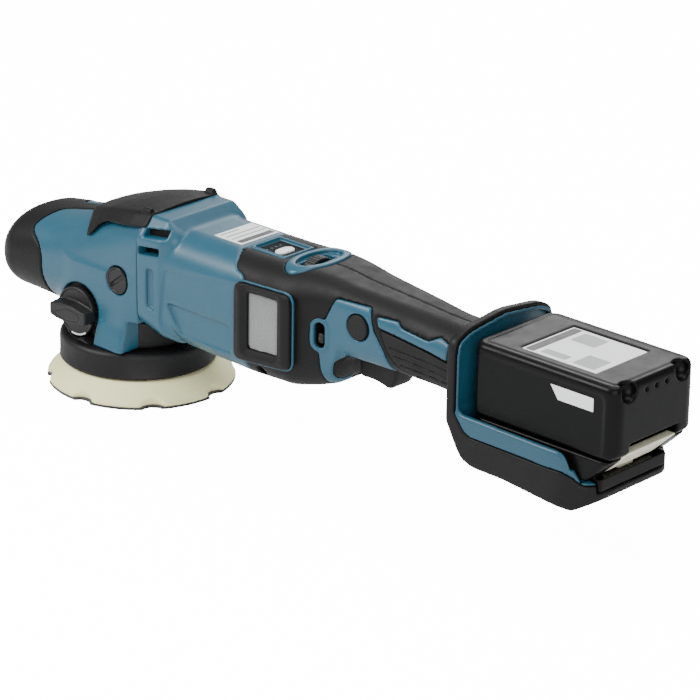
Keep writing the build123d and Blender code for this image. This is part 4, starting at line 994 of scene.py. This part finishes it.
def build_pad():
    """Shroud, backing pad with scalloped edge, and the hook layer."""
    def bite(x, y, radius, depth):
        angle = np.arctan2(y, x - PAD_X) - FIRST_BITE
        turn = 2 * math.pi / BITES
        local = np.mod(angle + turn / 2, turn) - turn / 2
        reach = np.hypot(x - PAD_X, y)
        middle = PAD_RADIUS + radius - depth
        return np.hypot(reach * np.cos(local) - middle, reach * np.sin(local)) - radius

    def foam(x, y, z):
        reach = np.hypot(x - PAD_X, y)
        wall = np.interp(z, [1.5, 4.0, 6.5, 11.0, 14.6], [61.2, 61.0, 59.0, 54.2, 50.0])
        body = smooth_max((reach - wall) * 0.75, slab(z, 1.55, 14.6), 1.0)
        body = cut(body, meet(bite(x, y, 8.5, 5.2 - 0.30 * np.maximum(z - 2, 0)), z - 12.5), 1.4)
        return cut(body, reach - 10.5, 0.6)

    piece(mold("foam_pad", (-60, -63, 1), (66, 63, 15), FINE, foam, FOAM),
          ["backing_pad"], "pad")

    def hooks(x, y, z):
        reach = np.hypot(x - PAD_X, y)
        angle = np.arctan2(y, x - PAD_X)
        fray = 0.35 * np.sin(angle * 97) + 0.25 * np.sin(angle * 61 + 1.0)
        body = smooth_max(reach - 61.2 - 0.2 * fray, slab(z, 0.02, 1.62), 0.3)
        body = cut(body, bite(x, y, 7.5, 3.9 - 0.4 * fray), 0.3)
        return cut(body, reach - 10.6, 0.3)

    piece(mold("hook_layer", (-60, -63, -0.2), (66, 63, 2), 0.55, hooks, HOOK, 0),
          ["hook_face"], "pad")

    shroud = [
        (47.9, 15.9), (48.4, 15.7), (50.7, 15.7), (51.1, 16.2), (51.1, 17.2), (50.9, 17.5),
        (51.0, 29.0), (50.7, 30.8), (49.6, 32.4), (48.2, 33.0), (36.0, 33.0), (35.2, 32.6),
        (35.2, 27.2), (45.0, 27.0), (47.6, 24.6),
    ]
    obj = lathe("shroud_ring", shroud, SHROUD, 220)
    sharpen(obj, 40)
    piece(obj, ["pad_shroud"])

    def collar(x, y, z):
        ring = smooth_max(disc(x, y, 0, 0, 46.5), slab(z, 32.9, 38.5 - 0.05 * x), 1.5)
        ring = cut(ring, disc(x, y, 0, 0, 35.3), 0.8)
        wedge = z - 33.0 - np.interp(x, [-50, -36, -5, 6], [8.5, 8.0, 3.0, -1.0])
        ring = smooth_max(ring, wedge, 1.0)
        rear = smooth_max(disc(x, y, 0, 0, 41.0), slab(z, 32.9, 51.0), 1.5)
        rear = meet(cut(rear, disc(x, y, 0, 0, 35.3), 0.8), 18.0 - x)
        ring = np.minimum(ring, rear)
        return cut(ring, meet(disc(x, z, KNOB_X, KNOB_Z, 17.4), y + 36.5), 0.6)

    piece(mold("shroud_collar", (-48, -48, 32), (42, 48, 52), FINE, collar, SHROUD))


# ---- battery base
# side view, view from behind and plan of the guard wall and tray
SIDE = [
    (303, 131), (312, 131), (312, 78.5), (316, 77.5), (388, 76.2), (392, 74.5), (398.2, 64.5),
    (403.5, 59.4), (411, 59.4), (409.5, 48), (397, 41), (377, 43.3), (362, 44.8), (347, 46.2),
    (324, 46.6), (316.1, 49.4), (312, 54.4), (303, 70.5),
]
GABLE = [
    (-44.5, 30), (44.5, 30), (44.5, 115), (42, 121.5), (32, 126), (0, 129.8), (-32, 126),
    (-42, 121.5), (-44.5, 115),
]
PLAN = [
    (265, -44.5), (387, -44.5), (403, -39), (412, -24), (412, 24), (403, 39), (387, 44.5),
    (265, 44.5),
]
# where the rubber over the guard wall ends, its thickness, and its upper edge along x
RUBBER_X = 305.5
RUBBER_DEEP = 3.2
RUBBER_LINE = [
    (300, 80), (309.5, 77), (317, 67.3), (322, 65), (390, 64), (396, 62), (402, 57.5), (412, 56.5),
]


def base_solid(x, y, z, inset=0.0):
    """Guard wall and tray together."""
    side = outline(x, z, SIDE, 2.0) + inset
    front = outline(y, z, GABLE, 5.0) + inset
    plan = outline(x, y, PLAN, 12.0) + inset
    return smooth_max(smooth_max(side, front, 2.5), plan, 2.0)


def battery_room(x, y, z):
    """Space that stays free for the battery."""
    room = meet(312.6 - x, abs(y) - 37.3, 59.5 - z)
    tongue = meet(317.2 - x, abs(y) - 30.4, 52.5 - z)
    return np.minimum(room, tongue)


def build_base():
    """Teal guard wall and tray, with rubber around the outside."""
    def rubber_area(x, y, z):
        front = np.minimum(x - RUBBER_X, meet(x - 309.5, -(base_solid(x, y, z) + RUBBER_DEEP)))
        low = z - np.interp(x, *zip(*RUBBER_LINE))
        return np.minimum(front, low)

    def teal(x, y, z):
        body = base_solid(x, y, z)
        body = cut(body, meet(rubber_area(x, y, z) - 0.35, -(body + 3.3)), 0.4)
        body = cut(smooth_max(body, base_solid(x, y, z, 0.5), 0.5), battery_room(x, y, z), 0.6)
        lips = rounded_box(x, abs(y), z, (320, 27.4, 56.4), (384, 31.5, 58.4), 0.5)
        body = np.minimum(body, lips)
        gable = outline(y, z, GABLE, 5.0)
        return carve(
            body,
            (meet(309.8 - x, gable + 4.6, 66.0 - z), 0.6),
            (meet(-(gable + 1.8), 309.0 - x, 78.0 - z), 0.6),
            (meet(392 - x, abs(y) - 9, 48.5 - z), 0.5),
        )

    # The base shell takes the darker teal copy, which is painted shade.
    piece(mold("base_shell", (303, -45, 40), (412, 45, 130), COARSE, teal, TEAL_SHADED),
          ["base_frame"])

    def rubber(x, y, z):
        body = smooth_max(base_solid(x, y, z), rubber_area(x, y, z), 0.8)
        seam = meet(abs(y) - 0.35, -(base_solid(x, y, z) + 0.8))
        wall = meet(base_solid(x, y, z, RUBBER_DEEP), RUBBER_X - x)
        return carve(body, (wall, 0.4), (battery_room(x, y, z), 0.4), (seam, 0.4))

    piece(mold("base_rubber", (302, -45.5, 39), (412, 45.5, 130), COARSE, rubber, RUBBER),
          ["base_bumper"])


BATTERY_MID = 369.5
BATTERY_HALF = 54.5
BATTERY_REAR = BATTERY_MID + BATTERY_HALF
BATTERY_TOP = 121.9
# sunken faces under the label and on the sides
LABEL_FLOOR = 121.1
SIDE_FACE = 35.9


def build_battery():
    """Slide-on battery: two shells, sunken label field, screw wells and release button."""
    low, high = node_box("battery_case")

    def hull(x, y, z):
        half = 36.7 - 0.016 * np.maximum(z - 100, 0)
        corner = 9.0 + 0.9 * np.clip(78.0 - z, 0, 18)
        return rounded_rect(x - BATTERY_MID, y, BATTERY_HALF, half, corner)

    def rear_slope(x, z):
        return (x - BATTERY_REAR + 1.05 * np.clip(80.0 - z, 0, 20)) * 0.7

    def button_well(x, y, z):
        well = meet(397.2 - x, abs(y) - 22.0, slab(z, 61.4, 84.8))
        return meet(well, -(rear_slope(x, z) + 14.0))

    def case(x, y, z):
        body = smooth_max(hull(x, y, z), slab(z, 76.2, BATTERY_TOP), 5.0)
        side = outline(x, z, [(318.5, 79.5), (414.5, 79.5), (414.5, 115.5), (318.5, 115.5)], 5.0)
        wells = [np.sqrt((x - 422.0) ** 2 + (y - y0) ** 2 + (z - 117.5) ** 2) - 6.4 for y0 in (-24.0, 24.0)]
        return carve(
            smooth_max(body, rear_slope(x, z), 3.0),
            (button_well(x, y, z), 0.6),
            (meet(abs(hull(x, y, z) + 5.6) - 0.4, LABEL_FLOOR - z), 0.4),
            (rounded_box(x, y, z, (341.7, -24.3, LABEL_FLOOR), (398.6, 24.3, 130), 0.7), 0.6),
            (meet(side, SIDE_FACE - abs(y)), 0.6),
            *((well, 0.8) for well in wells),
            *((meet(disc(y, z, y0, 115.0, 1.3), 421.0 - x), 0.6) for y0 in (-9.0, 0.0, 9.0)),
            (meet(423.3 - x, abs(y) - 17, slab(z, 84, 108)), 0.4),
        )

    piece(mold("battery_shell", low, high, COARSE, case, BATTERY),
          ["battery_case"], "battery")

    def lid(x, y, z):
        body = smooth_max(hull(x, y, z), slab(z, 60.05, 75.95), 1.2)
        body = smooth_max(body, rear_slope(x, z), 3.0)
        tongue = rounded_box(x, y, z, (318, -30, 53), (409.5, 30, 61.5), 1.0)
        body = np.minimum(body, tongue)
        rails = [rounded_box(x, s * y, z, (310, 27.0, 56.0), (386, 34, 58.8), 0.2) for s in (-1, 1)]
        slots = [meet(slab(x, 310, 329), abs(y - y0) - 1.2, slab(z, 66.4, 72.6)) for y0 in (-14.0, 0.0, 14.0)]
        hook = meet(slab(x, 397, 405), abs(y) - 8.4, slab(z, 50, 78.0))
        return carve(body, *((hole, 0.3) for hole in rails + slots), (button_well(x, y, z), 0.6), (hook, 0.5))

    piece(mold("battery_lower_shell", (315, -37, 52.5), (424, 37, 76), COARSE, lid, BATTERY),
          ["battery_lid"], "battery")

    def button(x, y, z):
        face = rounded_box(x, y, z, (402, -21.5, 61.9), (425.0, 21.5, 79.2), 1.5)
        face = smooth_max(face, abs(rear_slope(x, z) + 2.6) - 2.4, 0.8)
        thumb = np.sqrt((x - 424) ** 2 + (y / 2.8) ** 2 + (z - 71) ** 2) - 7.0
        face = cut(face, thumb, 1.0)
        arm = rounded_box(x, y, z, (398, -7.9, 64.1), (408, 7.9, 67.9), 0.6)
        hook = outline(x, z, [(398.2, 67), (398.2, 51.4), (403.6, 54.2), (403.6, 67)], 0.5)
        hook = smooth_max(hook, abs(y) - 6.9, 0.6)
        return np.minimum(np.minimum(face, arm), hook)

    piece(mold("release_button", (397, -22.5, 50.5), (425, 22.5, 80), 0.5, button, CREAM, 1),
          ["battery_button"], "battery_button")

    fields = (
        ("battery_label", (342.4, 397.9, -23.6, 23.6), 121.25, WHITE),
        ("battery_label_a", (343.6, 350.5, -22.6, 22.6), 121.36, LABEL_DARK),
        ("battery_label_b", (353.5, 372.0, -20.5, -13.5), 121.36, LABEL_GREY),
        ("battery_label_c", (353.5, 372.0, 6.0, 20.5), 121.36, LABEL_GREY),
        ("battery_label_d", (377.0, 393.5, -20.5, -4.0), 121.36, LABEL_GREY),
    )
    for name, (x0, x1, y0, y1), top, material in fields:
        def plate(x, y, z, spans=(x0, x1, y0, y1), top=top):
            plan = rounded_box(x, y, 0, (spans[0], spans[2], -9), (spans[1], spans[3], 9), 1.2)
            return meet(plan, slab(z, 119.9, top))
        piece(mold(name, (x0, y0, 119.5), (x1, y1, 121.8), 0.4, plate, material, 0),
          body="battery")

    for side, name in ((-1, "battery_stripe_left"), (1, "battery_stripe_right")):
        def stripe(x, y, z, side=side):
            area = outline(x, z, [(381, 104), (407, 104), (407, 112.5), (375, 112.5)], 0.8)
            return meet(area, slab(side * y, SIDE_FACE, SIDE_FACE + 0.5))
        reach = (-37, -35) if side < 0 else (35, 37)
        piece(mold(name, (374, reach[0], 103), (408, reach[1], 114), 0.4, stripe, WHITE, 0),
          body="battery")


# ---- stage
def build_stage():
    """Pale floor, soft lights and the camera."""
    mesh = bpy.data.meshes.new("studio_floor")
    reach, level = 6.0, -0.001
    corners = [(reach * u, reach * v, level) for u, v in ((-1, -1), (1, -1), (1, 1), (-1, 1))]
    mesh.from_pydata(corners, [], [(0, 1, 2, 3)])
    material, tree, shader, coords = nodes_of("studio_paper")
    shade = noise(tree, coords, 3.0)
    seen = add(tree, "LightPath", {}, "Is Camera Ray")
    fill(shader, {
        "Base Color": mix_colour(tree, shade, (0.90, 0.90, 0.90), (0.93, 0.93, 0.93)),
        "Roughness": 0.9,
        "Emission Color": (1.0, 1.0, 1.0, 1.0),
        "Emission Strength": ramp(tree, seen, 0.0, 1.0, 0.0, 14.0),
    })
    mesh.materials.append(material)
    place("studio_floor", mesh)

    world = bpy.data.worlds.new("studio_world")
    world.use_nodes = True
    fill(world.node_tree.nodes["Background"], {"Color": (1.0, 1.0, 1.0, 1.0), "Strength": 0.38})
    bpy.context.scene.world = world

    aim = Vector((0.17, 0.0, 0.07))
    for name, spot, size, power in (
        ("key", (-0.75, -1.25, 1.35), 0.9, 38.0),
        ("fill", (1.35, -1.0, 0.7), 1.1, 15.0),
        ("top", (0.2, 0.25, 1.6), 1.2, 18.0),
        ("back", (-0.6, 1.3, 0.9), 0.9, 9.0),
    ):
        light = bpy.data.lights.new(name, "AREA")
        light.size = size
        light.energy = power
        lamp = place(name, light)
        lamp.location = spot
        lamp.rotation_euler = (aim - Vector(spot)).to_track_quat("-Z", "Y").to_euler()

    azimuth, elevation, roll = math.radians(42.74), math.radians(21.69), math.radians(0.96)
    right = Vector((math.cos(azimuth), math.sin(azimuth), 0))
    level = math.cos(elevation)
    forward = Vector((-math.sin(azimuth) * level, math.cos(azimuth) * level, -math.sin(elevation)))
    up = right.cross(forward)
    turned_right = right * math.cos(roll) + up * math.sin(roll)
    turned_up = up * math.cos(roll) - right * math.sin(roll)
    target = Vector((0.18686, 0.0, 0.06931))
    distance = 2.17415
    data = bpy.data.cameras.new("studio_camera")
    data.lens = 183.05
    data.sensor_width = 36.0
    data.clip_end = 50.0
    camera = place("studio_camera", data)
    rotation = Matrix((turned_right, turned_up, -forward)).transposed()
    camera.matrix_world = Matrix.Translation(target - forward * distance) @ rotation.to_4x4()
    bpy.context.scene.camera = camera


dress_cad()
build_head()
build_motor_housing()
build_handle()
build_intakes()
build_top_controls()
build_handle_controls()
build_knob()
build_pad()
build_base()
build_battery()
build_stage()
